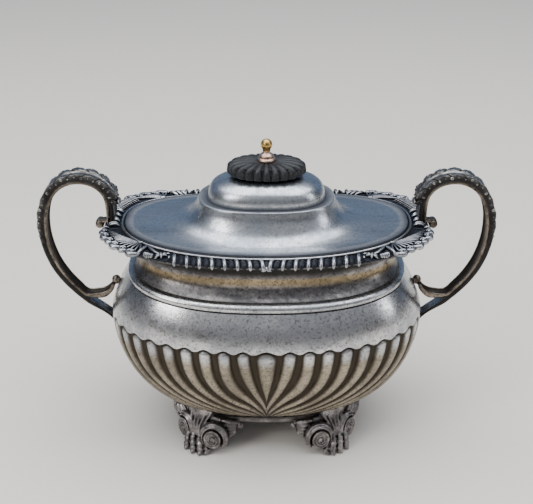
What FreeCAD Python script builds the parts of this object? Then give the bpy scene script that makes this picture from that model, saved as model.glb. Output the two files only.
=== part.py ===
"""Covered sugar bowl in silver plate: an oblong bellied bowl on four paw feet, with two
scroll handles, a cast rim of gadroons and shells, and a lift-off lid with an ebony knob.

Millimetres. +Z is up, +X runs from handle to handle, and the origin is on the table under
the middle of the bowl. Every level of the bowl and lid is a ring: a rounded oblong with its
own half length, half width and squareness, which rises a little towards its two ends.
"""
import FreeCAD
import Part
import math
import os

V = FreeCAD.Vector

# ---------------------------------------------------------------- bowl body
FOOT_HEIGHT = 12.6             # table to the lower edge of the base ring
BASE_RING_HEIGHT = 4.9
BASE_HALF_LENGTH = 41.3
BASE_HALF_WIDTH = 28.1
BELLY_HALF_LENGTH = 73.6
BELLY_HALF_WIDTH = 50.0
BELLY_RISE = 44.5              # base ring to the widest level
BELLY_ROUNDNESS = 1.9          # 2 is an elliptical lower profile
SHOULDER_RISE = 17.3           # widest level to the moulding
SHOULDER_INSET_LENGTH = 8.9
SHOULDER_INSET_WIDTH = 6.0
SHOULDER_ROUNDNESS = 1.6
SHOULDER_LIFT = 4.0            # how much higher the moulding is at its ends
BASE_SQUARENESS = 2.2          # 2 is an ellipse, more is squarer
SHOULDER_SQUARENESS = 2.75
WALL = 1.2
BASE_RING_FLARE = 1.3

# ---------------------------------------------------------------- moulding, neck and rim
MOULDING_HEIGHT = 4.4
MOULDING_WIDTH = 4.6
MOULDING_ROLL = 0.25           # how far the bead stands out past its foot
NECK_HEIGHT = 17.9             # top of the moulding to the underside of the rim
NECK_WAIST_LENGTH = 5.1        # waist, measured in from the shoulder
NECK_WAIST_WIDTH = 6.8
NECK_WALL = 1.3
MOUTH_INSET_LENGTH = 1.1       # mouth, measured in from the shoulder
MOUTH_INSET_WIDTH = 8.6
MOUTH_SQUARENESS = 2.36
SEAT_LEDGE = 1.3               # lip inside the neck that carries the lid
RIM_LIFT = 2.25                # how much higher the rim is at the mouth's ends
RIM_WIDTH_ENDS = 10.9
RIM_WIDTH_SIDES = 8.1
RIM_SQUARENESS = 2.75
RIM_THICKNESS = 2.2            # at the mouth
RIM_EDGE_THICKNESS = 1.4
RIM_FALL = 1.5                 # how much lower the outer edge is
WIRE_DIAMETER = 1.6
WIRE_GAP = 2.4                 # mouth to the inner side of the seat wire
ORNAMENT_HEIGHT = 2.0
ORNAMENT_GAP = 0.3             # between the seat wire and the cast border
ORNAMENT_OVERHANG = 0.9
SHELL_OVERHANG = 2.4
SOLDER_FILM = 0.02             # between the rim and the cast border

# ---------------------------------------------------------------- lid
LID_CLEARANCE = 0.6            # lid edge to seat wire, all round
LID_SEAT_GAP = 0.2
LID_WALL = 0.9
LID_RIDGE_HEIGHT = 13.2        # lid plate to the ridge
RIDGE_HALF_LENGTH = 31.3
RIDGE_HALF_WIDTH = 22.0
DOME_HALF_LENGTH = 27.0
DOME_HALF_WIDTH = 18.6
DOME_HEIGHT = 10.8             # ridge to the top of the dome
DOME_SEAT_RADIUS = 5.0         # flat on top of the dome, under the knob
BEZEL_CLEARANCE = 0.5
BEZEL_DEPTH = 2.8
BEZEL_WALL = 1.0

# ---------------------------------------------------------------- knob and its screw
KNOB_HALF_LENGTH = 18.2
KNOB_HALF_WIDTH = 12.6
KNOB_HEIGHT = 6.5
SHANK_RADIUS = 1.5
SHANK_CLEARANCE = 0.2
THREAD_GAP = 0.05              # nut to shank, all round
FINIAL_SKIRT_RADIUS = 4.2
FINIAL_NECK_RADIUS = 1.75
FINIAL_BALL_RADIUS = 2.65
FINIAL_HEIGHT = 10.3
WASHER_RADIUS = 4.0
WASHER_THICKNESS = 0.8
NUT_ACROSS_FLATS = 5.5
NUT_HEIGHT = 2.4
SHANK_END = 1.2                # thread left showing below the nut

# ---------------------------------------------------------------- handles
HANDLE_WIDTH = 9.6
HANDLE_LOW_WIDTH = 7.0
STRAP_THICKNESS = 2.4
RIBBON_THICKNESS = 1.7
LEAF_THICKNESS = 0.9
BALL_RADIUS = 2.15
CURL_RADIUS = 2.1
CURL_WIDTH = 7.0

# ---------------------------------------------------------------- feet
FOOT_TURN = 61.5               # degrees from +X to the way a foot points
FOOT_STANCE_X = 33.2
FOOT_STANCE_Y = 30.9
PAW_WIDTH = 12.2
PAW_HEIGHT = 6.6
PAW_SHIFT = -1.2               # the paw is nearer to the inner volute
VOLUTE_RADIUS = 4.4
VOLUTE_HEIGHT = 9.1
INNER_VOLUTE_REACH = 8.1       # nearer to the middle of the bowl's side
OUTER_VOLUTE_REACH = 5.4
INNER_VOLUTE_BACK = -3.4       # back face of a volute, from the foot's own middle
OUTER_VOLUTE_BACK = -6.4
INNER_SPLAY = 17.0             # degrees that a volute turns away from the paw
OUTER_SPLAY = 30.0
VOLUTE_DEPTH = 6.2
ANKLE_BURY = 8.0               # how far the ankle runs up past the base ring, before trimming
INNER_WING_REACH = 18.6        # leaf towards the middle of the bowl's side
OUTER_WING_REACH = 15.2
WING_THICKNESS = 4.6

SAMPLES = 64                   # points round a ring

BASE_Z = FOOT_HEIGHT + BASE_RING_HEIGHT
BELLY_Z = BASE_Z + BELLY_RISE
SHOULDER_Z = BELLY_Z + SHOULDER_RISE
NECK_Z = SHOULDER_Z + MOULDING_HEIGHT
RIM_Z = NECK_Z + NECK_HEIGHT
SEAT_Z = RIM_Z + RIM_THICKNESS
SHOULDER_L = BELLY_HALF_LENGTH - SHOULDER_INSET_LENGTH
SHOULDER_W = BELLY_HALF_WIDTH - SHOULDER_INSET_WIDTH
MOUTH_L = SHOULDER_L - MOUTH_INSET_LENGTH
MOUTH_W = SHOULDER_W - MOUTH_INSET_WIDTH
RIM_BEND = RIM_LIFT / MOUTH_L ** 2
LID_Z = SEAT_Z + LID_SEAT_GAP + LID_WALL
LID_L = MOUTH_L + WIRE_GAP - LID_CLEARANCE
LID_W = MOUTH_W + WIRE_GAP - LID_CLEARANCE
RIDGE_Z = LID_Z + LID_RIDGE_HEIGHT
DOME_Z = RIDGE_Z + DOME_HEIGHT
KNOB_Z = DOME_Z + KNOB_HEIGHT


# ---------------------------------------------------------------- rings and skins
def ring_angle(step, count=SAMPLES):
    """Azimuth of one sample, spaced evenly on an oblong two thirds as wide as it is long."""
    turn = 2 * math.pi * step / count
    return math.atan2(0.67 * math.sin(turn), math.cos(turn))


def ring_point(azimuth, length, width, square, z, bend=0.0):
    """A point of a ring; bend lifts it by bend times x squared."""
    across = abs(math.cos(azimuth) / length) ** square
    along = abs(math.sin(azimuth) / width) ** square
    radius = (across + along) ** (-1 / square)
    x = radius * math.cos(azimuth)
    return V(x, radius * math.sin(azimuth), z + bend * x * x)


def ring(length, width, square, z, bend=0.0, azimuths=None):
    """Sample points of a ring, all the way round unless azimuths are given."""
    chosen = azimuths or [ring_angle(i) for i in range(SAMPLES)]
    return [ring_point(a, length, width, square, z, bend) for a in chosen]


def blend(first, second, share, lift=0.0):
    """Points a share of the way from one ring to another, then raised."""
    return [p + (q - p) * share + V(0, 0, lift) for p, q in zip(first, second)]


def spline(points, parameters, closed):
    curve = Part.BSplineCurve()
    if closed:
        curve.interpolate(Points=points, Parameters=parameters, PeriodicFlag=True)
    else:
        curve.interpolate(Points=points, Parameters=parameters)
    return curve


def skin(rings, closed=True):
    """A surface through rings, smooth across them when there are more than two."""
    count = len(rings[0])
    around = [i / count for i in range(count + 1)] if closed else [i / (count - 1) for i in range(count)]
    curves = [spline(points, around, closed) for points in rings]
    columns = list(zip(*[curve.getPoles() for curve in curves]))
    if len(rings) == 2:
        rows = [list(column) for column in columns]
        knots, mults, degree = [0.0, 1.0], [2, 2], 1
    else:
        middle = [sum(((q - p).Length for p, q in zip(a, b)), 0.0) for a, b in zip(rings, rings[1:])]
        total = sum(middle)
        across = [sum(middle[:i]) / total for i in range(len(rings))]
        splines = [spline(list(column), across, False) for column in columns]
        rows = [s.getPoles() for s in splines]
        knots, mults, degree = splines[0].getKnots(), splines[0].getMultiplicities(), splines[0].Degree
    surface = Part.BSplineSurface()
    first = curves[0]
    surface.buildFromPolesMultsKnots(
        rows, first.getMultiplicities(), mults, first.getKnots(), knots,
        closed, False, first.Degree, degree)
    return surface.toShape()


def flat_cap(points):
    """A flat face inside a level ring."""
    around = [i / len(points) for i in range(len(points) + 1)]
    return Part.Face(Part.Wire(spline(points, around, True).toShape()))


def solid(faces):
    """Sew faces into one solid with outward normals."""
    sewn = Part.Compound(faces)
    sewn.sewShape(1e-4)
    made = Part.Solid(Part.Shell(sewn.Faces))
    if made.Volume < 0:
        made.reverse()
    return made


def hoop(section):
    """A closed hoop whose section has one ring at each corner."""
    return solid([skin([a, b]) for a, b in zip(section, section[1:] + section[:1])])


def arc_piece(section):
    """A piece of a hoop, closed by a flat face at each end."""
    faces = [skin([a, b], closed=False) for a, b in zip(section, section[1:] + section[:1])]
    for end in (0, -1):
        corners = [points[end] for points in section]
        faces.append(Part.Face(Part.makePolygon(corners + corners[:1])))
    return solid(faces)


def largest(shape):
    """The main solid of a trimmed shape, without the slivers that trimming leaves."""
    return max(shape.Solids, key=lambda piece: piece.Volume)


def save(name, shape):
    if not shape.isValid():
        raise ValueError(name + " is not a valid solid")
    shape.exportStep("parts/" + name + ".step")


def lining(profile, wall):
    """A run of levels, set in by a wall's thickness along the profile's normal."""
    moved = []
    for i, (length, width, square, z, bend) in enumerate(profile):
        before = profile[max(i - 1, 0)]
        after = profile[min(i + 1, len(profile) - 1)]
        run = before[0] - after[0]
        rise = after[3] - before[3]
        size = math.hypot(run, rise)
        inward = wall * rise / size
        moved.append((length - inward, width - inward, square, z - wall * run / size, bend))
    return moved


# ---------------------------------------------------------------- bowl
def body_level(z):
    """The bowl's outer ring at a height between the base and the shoulder."""
    if z <= BELLY_Z:
        fall = (BELLY_Z - z) / BELLY_RISE
        swell = max(1 - fall ** BELLY_ROUNDNESS, 0.0) ** (1 / BELLY_ROUNDNESS)
        length = BASE_HALF_LENGTH + (BELLY_HALF_LENGTH - BASE_HALF_LENGTH) * swell
        width = BASE_HALF_WIDTH + (BELLY_HALF_WIDTH - BASE_HALF_WIDTH) * swell
    else:
        pull = ((z - BELLY_Z) / SHOULDER_RISE) ** SHOULDER_ROUNDNESS
        length = BELLY_HALF_LENGTH - SHOULDER_INSET_LENGTH * pull
        width = BELLY_HALF_WIDTH - SHOULDER_INSET_WIDTH * pull
    floor = BASE_Z + WALL
    share = max(z - floor, 0.0) / (SHOULDER_Z - floor)
    square = BASE_SQUARENESS + (SHOULDER_SQUARENESS - BASE_SQUARENESS) * share ** 1.5
    return length, width, square, z, SHOULDER_LIFT * share ** 2 / length ** 2


def body_profile():
    """Levels of the bowl's outside, closer together where the profile bends most."""
    low = [BASE_Z + BELLY_RISE * share for share in (0, 0.04, 0.12, 0.25, 0.42, 0.62, 0.82)]
    high = [BELLY_Z + SHOULDER_RISE * share for share in (0, 0.2, 0.42, 0.66, 0.85, 1)]
    return [body_level(z) for z in low + high]


def bowl_outline():
    """The bowl as a full block, used to trim what is soldered to it."""
    rings = [ring(*level) for level in body_profile()]
    top = ring(SHOULDER_L, SHOULDER_W, SHOULDER_SQUARENESS, SHOULDER_Z + 2 * SHOULDER_LIFT)
    return solid([skin(rings), flat_cap(rings[0]), skin([rings[-1], top]), flat_cap(top)])


def body_shell():
    profile = body_profile()
    inside = lining(profile, WALL)
    inside[0] = inside[0][:3] + (BASE_Z + WALL, 0.0)
    inside[-1] = inside[-1][:3] + profile[-1][3:]
    outer = [ring(*level) for level in profile]
    inner = [ring(*level) for level in inside]
    lip = skin([outer[-1], inner[-1]])
    return solid([skin(outer), flat_cap(outer[0]), lip, skin(inner), flat_cap(inner[0])])


def base_section(flare):
    """Outer and inner rings of the base ring at one of its edges."""
    z = BASE_Z if flare == 0 else FOOT_HEIGHT
    outer = ring(BASE_HALF_LENGTH + flare, BASE_HALF_WIDTH + flare, BASE_SQUARENESS, z)
    inner = ring(BASE_HALF_LENGTH + flare - WALL, BASE_HALF_WIDTH + flare - WALL, BASE_SQUARENESS, z)
    return outer, inner


def base_ring():
    top_outer, top_inner = base_section(0)
    low_outer, low_inner = base_section(BASE_RING_FLARE)
    return hoop([top_outer, low_outer, low_inner, top_inner])


def base_outline():
    top_outer = base_section(0)[0]
    low_outer = base_section(BASE_RING_FLARE)[0]
    return solid([skin([top_outer, low_outer]), flat_cap(top_outer), flat_cap(low_outer)])


def shoulder_ring(out, up):
    """A ring that keeps to the line of the moulding."""
    bend = SHOULDER_LIFT / SHOULDER_L ** 2
    return ring(SHOULDER_L + out, SHOULDER_W + out, SHOULDER_SQUARENESS, SHOULDER_Z + up, bend)


def shoulder_moulding():
    section = [
        shoulder_ring(-MOULDING_WIDTH, 0),
        shoulder_ring(0, 0),
        shoulder_ring(MOULDING_ROLL, 0.3 * MOULDING_HEIGHT),
        shoulder_ring(0.5 * MOULDING_ROLL, 0.56 * MOULDING_HEIGHT),
        shoulder_ring(-0.15 * MOULDING_WIDTH, 0.82 * MOULDING_HEIGHT),
        shoulder_ring(-0.48 * MOULDING_WIDTH, MOULDING_HEIGHT),
        shoulder_ring(-MOULDING_WIDTH, MOULDING_HEIGHT)]
    return hoop(section)


def mouth_ring(out, z, bend=RIM_BEND):
    return ring(MOUTH_L + out, MOUTH_W + out, MOUTH_SQUARENESS, z, bend)


def neck_collar():
    foot_bend = SHOULDER_LIFT / SHOULDER_L ** 2
    foot = (SHOULDER_L - 0.7 * MOULDING_WIDTH, SHOULDER_W - 0.7 * MOULDING_WIDTH)
    waist = (SHOULDER_L - NECK_WAIST_LENGTH, SHOULDER_W - NECK_WAIST_WIDTH)
    top = (MOUTH_L + SEAT_LEDGE + NECK_WALL, MOUTH_W + SEAT_LEDGE + NECK_WALL)
    # height share, then how much of the foot, waist and top each level takes
    stations = [
        (0.0, 1.0, 0.0, 0.0),
        (0.2, 0.22, 0.78, 0.0),
        (0.42, 0.0, 1.0, 0.0),
        (0.68, 0.0, 0.72, 0.28),
        (0.88, 0.0, 0.3, 0.7),
        (1.0, 0.0, 0.0, 1.0)]
    outer, inner = [], []
    for height, low, mid, high in stations:
        length = low * foot[0] + mid * waist[0] + high * top[0]
        width = low * foot[1] + mid * waist[1] + high * top[1]
        square = SHOULDER_SQUARENESS + (MOUTH_SQUARENESS - SHOULDER_SQUARENESS) * height
        bend = foot_bend + (RIM_BEND - foot_bend) * height
        z = NECK_Z + NECK_HEIGHT * height
        outer.append(ring(length, width, square, z, bend))
        inner.append(ring(length - NECK_WALL, width - NECK_WALL, square, z, bend))
    return solid([skin(outer), skin([outer[-1], inner[-1]]), skin(inner), skin([inner[0], outer[0]])])


def rim_top(azimuths=None):
    """Inner and outer edges of the rim's top face."""
    inner = ring(MOUTH_L, MOUTH_W, MOUTH_SQUARENESS, SEAT_Z, RIM_BEND, azimuths)
    outer = ring(
        MOUTH_L + RIM_WIDTH_ENDS, MOUTH_W + RIM_WIDTH_SIDES, RIM_SQUARENESS,
        SEAT_Z - RIM_FALL, RIM_BEND, azimuths)
    return inner, outer


def on_rim(offset, lift=0.0, azimuths=None):
    """Points of the rim's top face at an offset from the mouth, then raised."""
    inner, outer = rim_top(azimuths)
    line = ring(MOUTH_L + offset, MOUTH_W + offset, MOUTH_SQUARENESS, 0, 0, azimuths)
    points = []
    for near, far, target in zip(inner, outer, line):
        start = math.hypot(near.x, near.y)
        share = (math.hypot(target.x, target.y) - start) / (math.hypot(far.x, far.y) - start)
        points.append(near + (far - near) * share + V(0, 0, lift))
    return points


def rim_flange():
    inner, outer = rim_top()
    outer_low = blend(outer, outer, 0, -RIM_EDGE_THICKNESS)
    return hoop([mouth_ring(0, RIM_Z), mouth_ring(SEAT_LEDGE + NECK_WALL, RIM_Z), outer_low, outer, inner])


def seat_wire():
    """A round wire on the rim, flattened where it is soldered down."""
    radius = WIRE_DIAMETER / 2
    centre = WIRE_GAP + radius
    section = [on_rim(centre - 0.5 * radius), on_rim(centre + 0.5 * radius)]
    for step in range(7):
        angle = math.radians(-30 + 40 * step)
        section.append(on_rim(centre + radius * math.cos(angle), radius * (0.87 + math.sin(angle))))
    return hoop(section)


def ornament(start, stop, overhang):
    """Cast border on the rim from one azimuth to another, in degrees."""
    count = max(6, int(abs(stop - start) / 4))
    azimuths = [math.radians(start + (stop - start) * i / count) for i in range(count + 1)]
    outer = rim_top(azimuths)[1]
    start = WIRE_GAP + WIRE_DIAMETER + ORNAMENT_GAP
    inner = on_rim(start, 0, azimuths)
    past = 1 + overhang / (RIM_WIDTH_ENDS - start)
    section = [
        blend(inner, outer, 0, SOLDER_FILM),
        blend(inner, outer, 1, SOLDER_FILM),
        blend(inner, outer, past, 0.35 * ORNAMENT_HEIGHT),
        blend(inner, outer, 0.5 * past, ORNAMENT_HEIGHT),
        blend(inner, outer, 0, 0.4 * ORNAMENT_HEIGHT)]
    return arc_piece(section)


# ---------------------------------------------------------------- lid
def lid_profile():
    """Levels of the lid's outside in four runs: flat margin, plate and flank, ridge, dome."""
    margin = LID_L - MOUTH_L + BEZEL_CLEARANCE + BEZEL_WALL + LID_WALL
    plate_l, plate_w = LID_L - margin, LID_W - margin

    def flank(share_l, share_w, up, square):
        length = plate_l + (RIDGE_HALF_LENGTH - plate_l) * share_l
        width = plate_w + (RIDGE_HALF_WIDTH - plate_w) * share_w
        return length, width, square, LID_Z + LID_RIDGE_HEIGHT * up, RIM_BEND * (1 - up) ** 2

    edge = [(LID_L, LID_W, MOUTH_SQUARENESS, LID_Z, RIM_BEND), flank(0, 0, 0, MOUTH_SQUARENESS)]
    plate = [
        edge[-1],
        flank(0.2, 0.16, 0.02, 2.34),
        flank(0.42, 0.32, 0.06, 2.32),
        flank(0.64, 0.5, 0.15, 2.32),
        flank(0.82, 0.72, 0.37, 2.36),
        flank(0.95, 0.92, 0.74, 2.42),
        flank(1, 1, 1, 2.46)]
    ridge = [
        plate[-1],
        (RIDGE_HALF_LENGTH - 1.0, RIDGE_HALF_WIDTH - 1.0, 2.48, RIDGE_Z + 0.45, 0.0),
        (DOME_HALF_LENGTH + 1.6, DOME_HALF_WIDTH + 1.4, 2.5, RIDGE_Z - 0.1, 0.0),
        (DOME_HALF_LENGTH, DOME_HALF_WIDTH, 2.5, RIDGE_Z + 0.1, 0.0)]
    dome = [ridge[-1]]
    for shrink, up, square in ((0.99, 0.28, 2.5), (0.93, 0.58, 2.48), (0.79, 0.81, 2.4), (0.55, 0.95, 2.3)):
        length, width = DOME_HALF_LENGTH * shrink, DOME_HALF_WIDTH * shrink
        dome.append((length, width, square, RIDGE_Z + DOME_HEIGHT * up, 0.0))
    dome.append((DOME_SEAT_RADIUS, DOME_SEAT_RADIUS, 2.0, DOME_Z, 0.0))
    return [edge, plate, ridge, dome]


def lid_cover():
    outside = lid_profile()
    whole = outside[1] + outside[2][1:] + outside[3][1:]
    inside = lining(whole, LID_WALL)
    inside[0] = whole[0][:3] + (LID_Z - LID_WALL, RIM_BEND)
    inside[-1] = whole[-1][:3] + (DOME_Z - LID_WALL, 0.0)
    under_edge = outside[0][0][:3] + (LID_Z - LID_WALL, RIM_BEND)
    turns = (0, len(outside[1]) - 1, len(outside[1]) + len(outside[2]) - 2, len(whole) - 1)
    runs = [[under_edge, inside[0]]] + [inside[a:b + 1] for a, b in zip(turns, turns[1:])]
    hole = SHANK_RADIUS + SHANK_CLEARANCE
    faces = [skin([ring(*level) for level in run]) for run in outside + runs]
    faces.append(skin([ring(*outside[0][0]), ring(*under_edge)]))
    for seat in (outside[3][-1], inside[-1]):
        faces.append(skin([ring(*seat), ring(hole, hole, 2.0, seat[3])]))
    faces.append(skin([ring(hole, hole, 2.0, DOME_Z), ring(hole, hole, 2.0, DOME_Z - LID_WALL)]))
    return solid(faces)


def lid_bezel():
    low = SEAT_Z + LID_SEAT_GAP - BEZEL_DEPTH
    top = SEAT_Z + LID_SEAT_GAP
    outer, inner = -BEZEL_CLEARANCE, -BEZEL_CLEARANCE - BEZEL_WALL
    corners = [(outer, low), (outer, top), (inner, top), (inner, low)]
    return hoop([mouth_ring(out, z) for out, z in corners])


# ---------------------------------------------------------------- knob and its screw
def knob():
    stations = ((0.8, 0.0), (0.93, 0.12), (1.0, 0.42), (0.97, 0.74), (0.82, 0.95), (0.6, 1.02))
    side = [
        ring(KNOB_HALF_LENGTH * s, KNOB_HALF_WIDTH * s, 2.2, DOME_Z + KNOB_HEIGHT * up)
        for s, up in stations]
    seat = ring(FINIAL_SKIRT_RADIUS + 1.5, FINIAL_SKIRT_RADIUS + 1.5, 2.0, KNOB_Z)
    body = solid([skin(side + [seat]), flat_cap(side[0]), flat_cap(seat)])
    hole = Part.makeCylinder(SHANK_RADIUS + SHANK_CLEARANCE, 3 * KNOB_HEIGHT, V(0, 0, DOME_Z - KNOB_HEIGHT))
    return body.cut(hole)


def finial_screw():
    """Brass finial turned in one piece with the screw that holds the knob."""
    end = DOME_Z - LID_WALL - WASHER_THICKNESS - NUT_HEIGHT - SHANK_END
    skirt = KNOB_Z + 0.17 * FINIAL_HEIGHT
    collar = KNOB_Z + 0.33 * FINIAL_HEIGHT
    ball_z = KNOB_Z + FINIAL_HEIGHT - FINIAL_BALL_RADIUS
    neck_top = ball_z - math.sqrt(FINIAL_BALL_RADIUS ** 2 - FINIAL_NECK_RADIUS ** 2)
    corners = [
        (0, end), (SHANK_RADIUS, end), (SHANK_RADIUS, KNOB_Z), (FINIAL_SKIRT_RADIUS, KNOB_Z),
        (FINIAL_SKIRT_RADIUS, skirt - 0.6), (FINIAL_SKIRT_RADIUS - 0.8, skirt), (3.2, collar),
        (FINIAL_NECK_RADIUS, neck_top - 0.6), (FINIAL_NECK_RADIUS, neck_top)]
    points = [V(r, 0, z) for r, z in corners]
    edges = [Part.makeLine(p, q) for p, q in zip(points, points[1:])]
    side = V(FINIAL_BALL_RADIUS, 0, ball_z)
    top = V(0, 0, ball_z + FINIAL_BALL_RADIUS)
    edges.append(Part.Arc(points[-1], side, top).toShape())
    edges.append(Part.makeLine(top, points[0]))
    return Part.Face(Part.Wire(edges)).revolve(V(0, 0, 0), V(0, 0, 1), 360)


def knob_washer():
    z = DOME_Z - LID_WALL - WASHER_THICKNESS
    disc = Part.makeCylinder(WASHER_RADIUS, WASHER_THICKNESS, V(0, 0, z))
    bore = Part.makeCylinder(SHANK_RADIUS + SHANK_CLEARANCE, WASHER_THICKNESS, V(0, 0, z))
    return disc.cut(bore)


def knob_nut():
    z = DOME_Z - LID_WALL - WASHER_THICKNESS - NUT_HEIGHT
    corner = NUT_ACROSS_FLATS / math.sqrt(3)
    turns = [math.radians(60 * i) for i in range(7)]
    hexagon = [V(corner * math.cos(turn), corner * math.sin(turn), z) for turn in turns]
    block = Part.Face(Part.makePolygon(hexagon)).extrude(V(0, 0, NUT_HEIGHT))
    return block.cut(Part.makeCylinder(SHANK_RADIUS + THREAD_GAP, NUT_HEIGHT, V(0, 0, z)))


# ---------------------------------------------------------------- handles
def body_end(z):
    """How far out the bowl's end is at a height, where the ring's end has risen to it."""
    level = z
    for _ in range(20):
        length, _, _, _, bend = body_level(level)
        level = min(max(z - bend * length * length, BASE_Z), SHOULDER_Z)
    return length


def handle_joint_line():
    """The line between the outer strap and the inner ribbon: out from the rim's end, up."""
    x = MOUTH_L + RIM_WIDTH_ENDS
    z = SEAT_Z + RIM_LIFT
    steps = [
        (-2.2, -1.5), (-2.3, 4.0), (-2.1, 9.0), (-1.2, 13.4), (1.4, 17.2), (5.6, 19.9), (11.3, 21.0),
        (17.4, 19.9), (22.6, 16.4), (26.2, 11.0), (28.3, 4.6), (29.0, -2.4), (28.6, -9.4), (27.0, -16.4),
        (24.2, -23.4), (20.2, -29.8), (15.6, -35.2), (12.4, -38.3), (9.6, -40.8)]
    return [V(x + dx, 0, z + dz) for dx, dz in steps]


def offset_line(points, distance):
    """Points moved square to the line, to its left, by a distance for each point."""
    moved = []
    for i, point in enumerate(points):
        along = points[min(i + 1, len(points) - 1)] - points[max(i - 1, 0)]
        along.normalize()
        moved.append(point + V(-along.z, 0, along.x) * distance[i])
    return moved


def curve(points):
    line = Part.BSplineCurve()
    line.interpolate(points)
    return line


def slab(edges, width):
    """A flat outline in the XZ plane, thickened evenly to both sides."""
    face = Part.Face(Part.Wire(Part.__sortEdges__(edges)))
    face.translate(V(0, -width / 2, 0))
    return face.extrude(V(0, width, 0))


def width_taper():
    """Full width over the top of the handle, narrower towards the strut."""
    top = SEAT_Z + 40
    wide = SEAT_Z - 8
    low = SEAT_Z - 34
    half, small = HANDLE_WIDTH / 2, HANDLE_LOW_WIDTH / 2
    side = [(half, top), (half, wide), (small, low), (small, 0)]
    outline = side + [(-y, z) for y, z in reversed(side)]
    points = [V(0, y, z) for y, z in outline]
    return Part.Face(Part.makePolygon(points + points[:1])).extrude(V(2 * BELLY_HALF_LENGTH, 0, 0))


def strap_edges(line):
    """Outer edge of the strap, and the strut that carries it on to the bowl."""
    count = len(line)
    outer = offset_line(line, [STRAP_THICKNESS] * count)
    fork = line[-1]
    strut_z = fork.z - 11.0
    reach = body_end(strut_z) - 3.0
    upper = [fork, V(0.5 * (fork.x + reach) + 0.2, 0, fork.z - 5.4), V(reach, 0, strut_z)]
    lower = [V(0.42 * outer[-1].x + 0.58 * reach, 0, outer[-1].z - 6.0), V(reach, 0, strut_z - 5.2)]
    return outer, upper, lower


def handle_pieces(block):
    """Strap, ribbon, leaf and rim curl of the +X handle."""
    line = handle_joint_line()
    joint = curve(line)
    outer, upper, lower = strap_edges(line)
    strap_curve = curve(outer + lower)
    top_curve = curve(upper)
    strap_face = [
        joint.toShape(), strap_curve.toShape(), top_curve.toShape(),
        Part.makeLine(line[0], outer[0]), Part.makeLine(upper[-1], lower[-1])]
    taper = width_taper()
    strap = largest(slab(strap_face, HANDLE_WIDTH).common(taper).cut(block))

    inner = offset_line(line, [-RIBBON_THICKNESS] * len(line))
    ball_z = line[-1].z + 9.8
    ball = V(body_end(ball_z) + BALL_RADIUS - 0.2, 0, ball_z)
    inner_tail = [ball + V(x, 0, z) for x, z in ((9.0, -5.9), (5.5, -5.0), (3.0, -3.1), (1.7, -1.0))]
    outer_tail = [ball + V(x, 0, z) for x, z in ((5.9, -8.2), (2.7, -5.9), (0.8, -3.2), (0.3, -1.0))]
    inner_curve = curve(inner[:-1] + inner_tail)
    tail_curve = curve([line[-1]] + outer_tail)
    ribbon_face = [
        joint.toShape(), inner_curve.toShape(), tail_curve.toShape(),
        Part.makeLine(line[0], inner[0]), Part.makeLine(inner_tail[-1], outer_tail[-1])]
    ribbon = slab(ribbon_face, HANDLE_WIDTH).common(taper)
    ribbon = largest(ribbon.fuse(Part.makeSphere(BALL_RADIUS, ball)).cut(block))

    first = strap_curve.parameter(outer[2])
    last = strap_curve.parameter(outer[12])
    bulge = [0, 0.9, 1.2, 1, 1, 1, 1, 1, 1, 1, 0]
    leaf_points = offset_line(outer[2:13], [LEAF_THICKNESS * share for share in bulge])
    leaf = slab([strap_curve.toShape(first, last), curve(leaf_points).toShape()], HANDLE_WIDTH)

    reach = MOUTH_L + RIM_WIDTH_ENDS
    rim_end = V(reach, 0, SEAT_Z - RIM_FALL + RIM_BEND * reach ** 2)
    centre = rim_end + V(CURL_RADIUS + 0.9, 0, -0.55)
    curl = Part.makeCylinder(CURL_RADIUS, CURL_WIDTH, centre - V(0, CURL_WIDTH / 2, 0), V(0, 1, 0))
    web = Part.makeBox(
        centre.x - inner[0].x + 0.5, CURL_WIDTH, 1.5, V(inner[0].x - 0.5, -CURL_WIDTH / 2, centre.z + 0.5))
    curl = largest(curl.fuse(web).cut(strap).cut(ribbon).cut(block))
    return {"strap": strap, "scroll": ribbon, "leaf": leaf, "rim_curl": curl}


# ---------------------------------------------------------------- feet
def foot_block(low, high):
    """Straight-sided block between two level rectangles, each (p0, p1, q0, q1, z)."""
    def frame(p0, p1, q0, q1, z):
        corners = [V(p0, q0, z), V(p1, q0, z), V(p1, q1, z), V(p0, q1, z)]
        return Part.makePolygon(corners + corners[:1])

    return Part.makeLoft([frame(*low), frame(*high)], True, True)


def wing(start, end, thickness):
    """Tapering leaf between two upright sections, each (p, q, z0, z1)."""
    def frame(p, q, z0, z1, half):
        corners = [V(p, q - half, z0), V(p, q + half, z0), V(p, q + half, z1), V(p, q - half, z1)]
        return Part.makePolygon(corners + corners[:1])

    return Part.makeLoft([frame(*start, thickness / 2), frame(*end, thickness / 4)], True, True)


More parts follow.
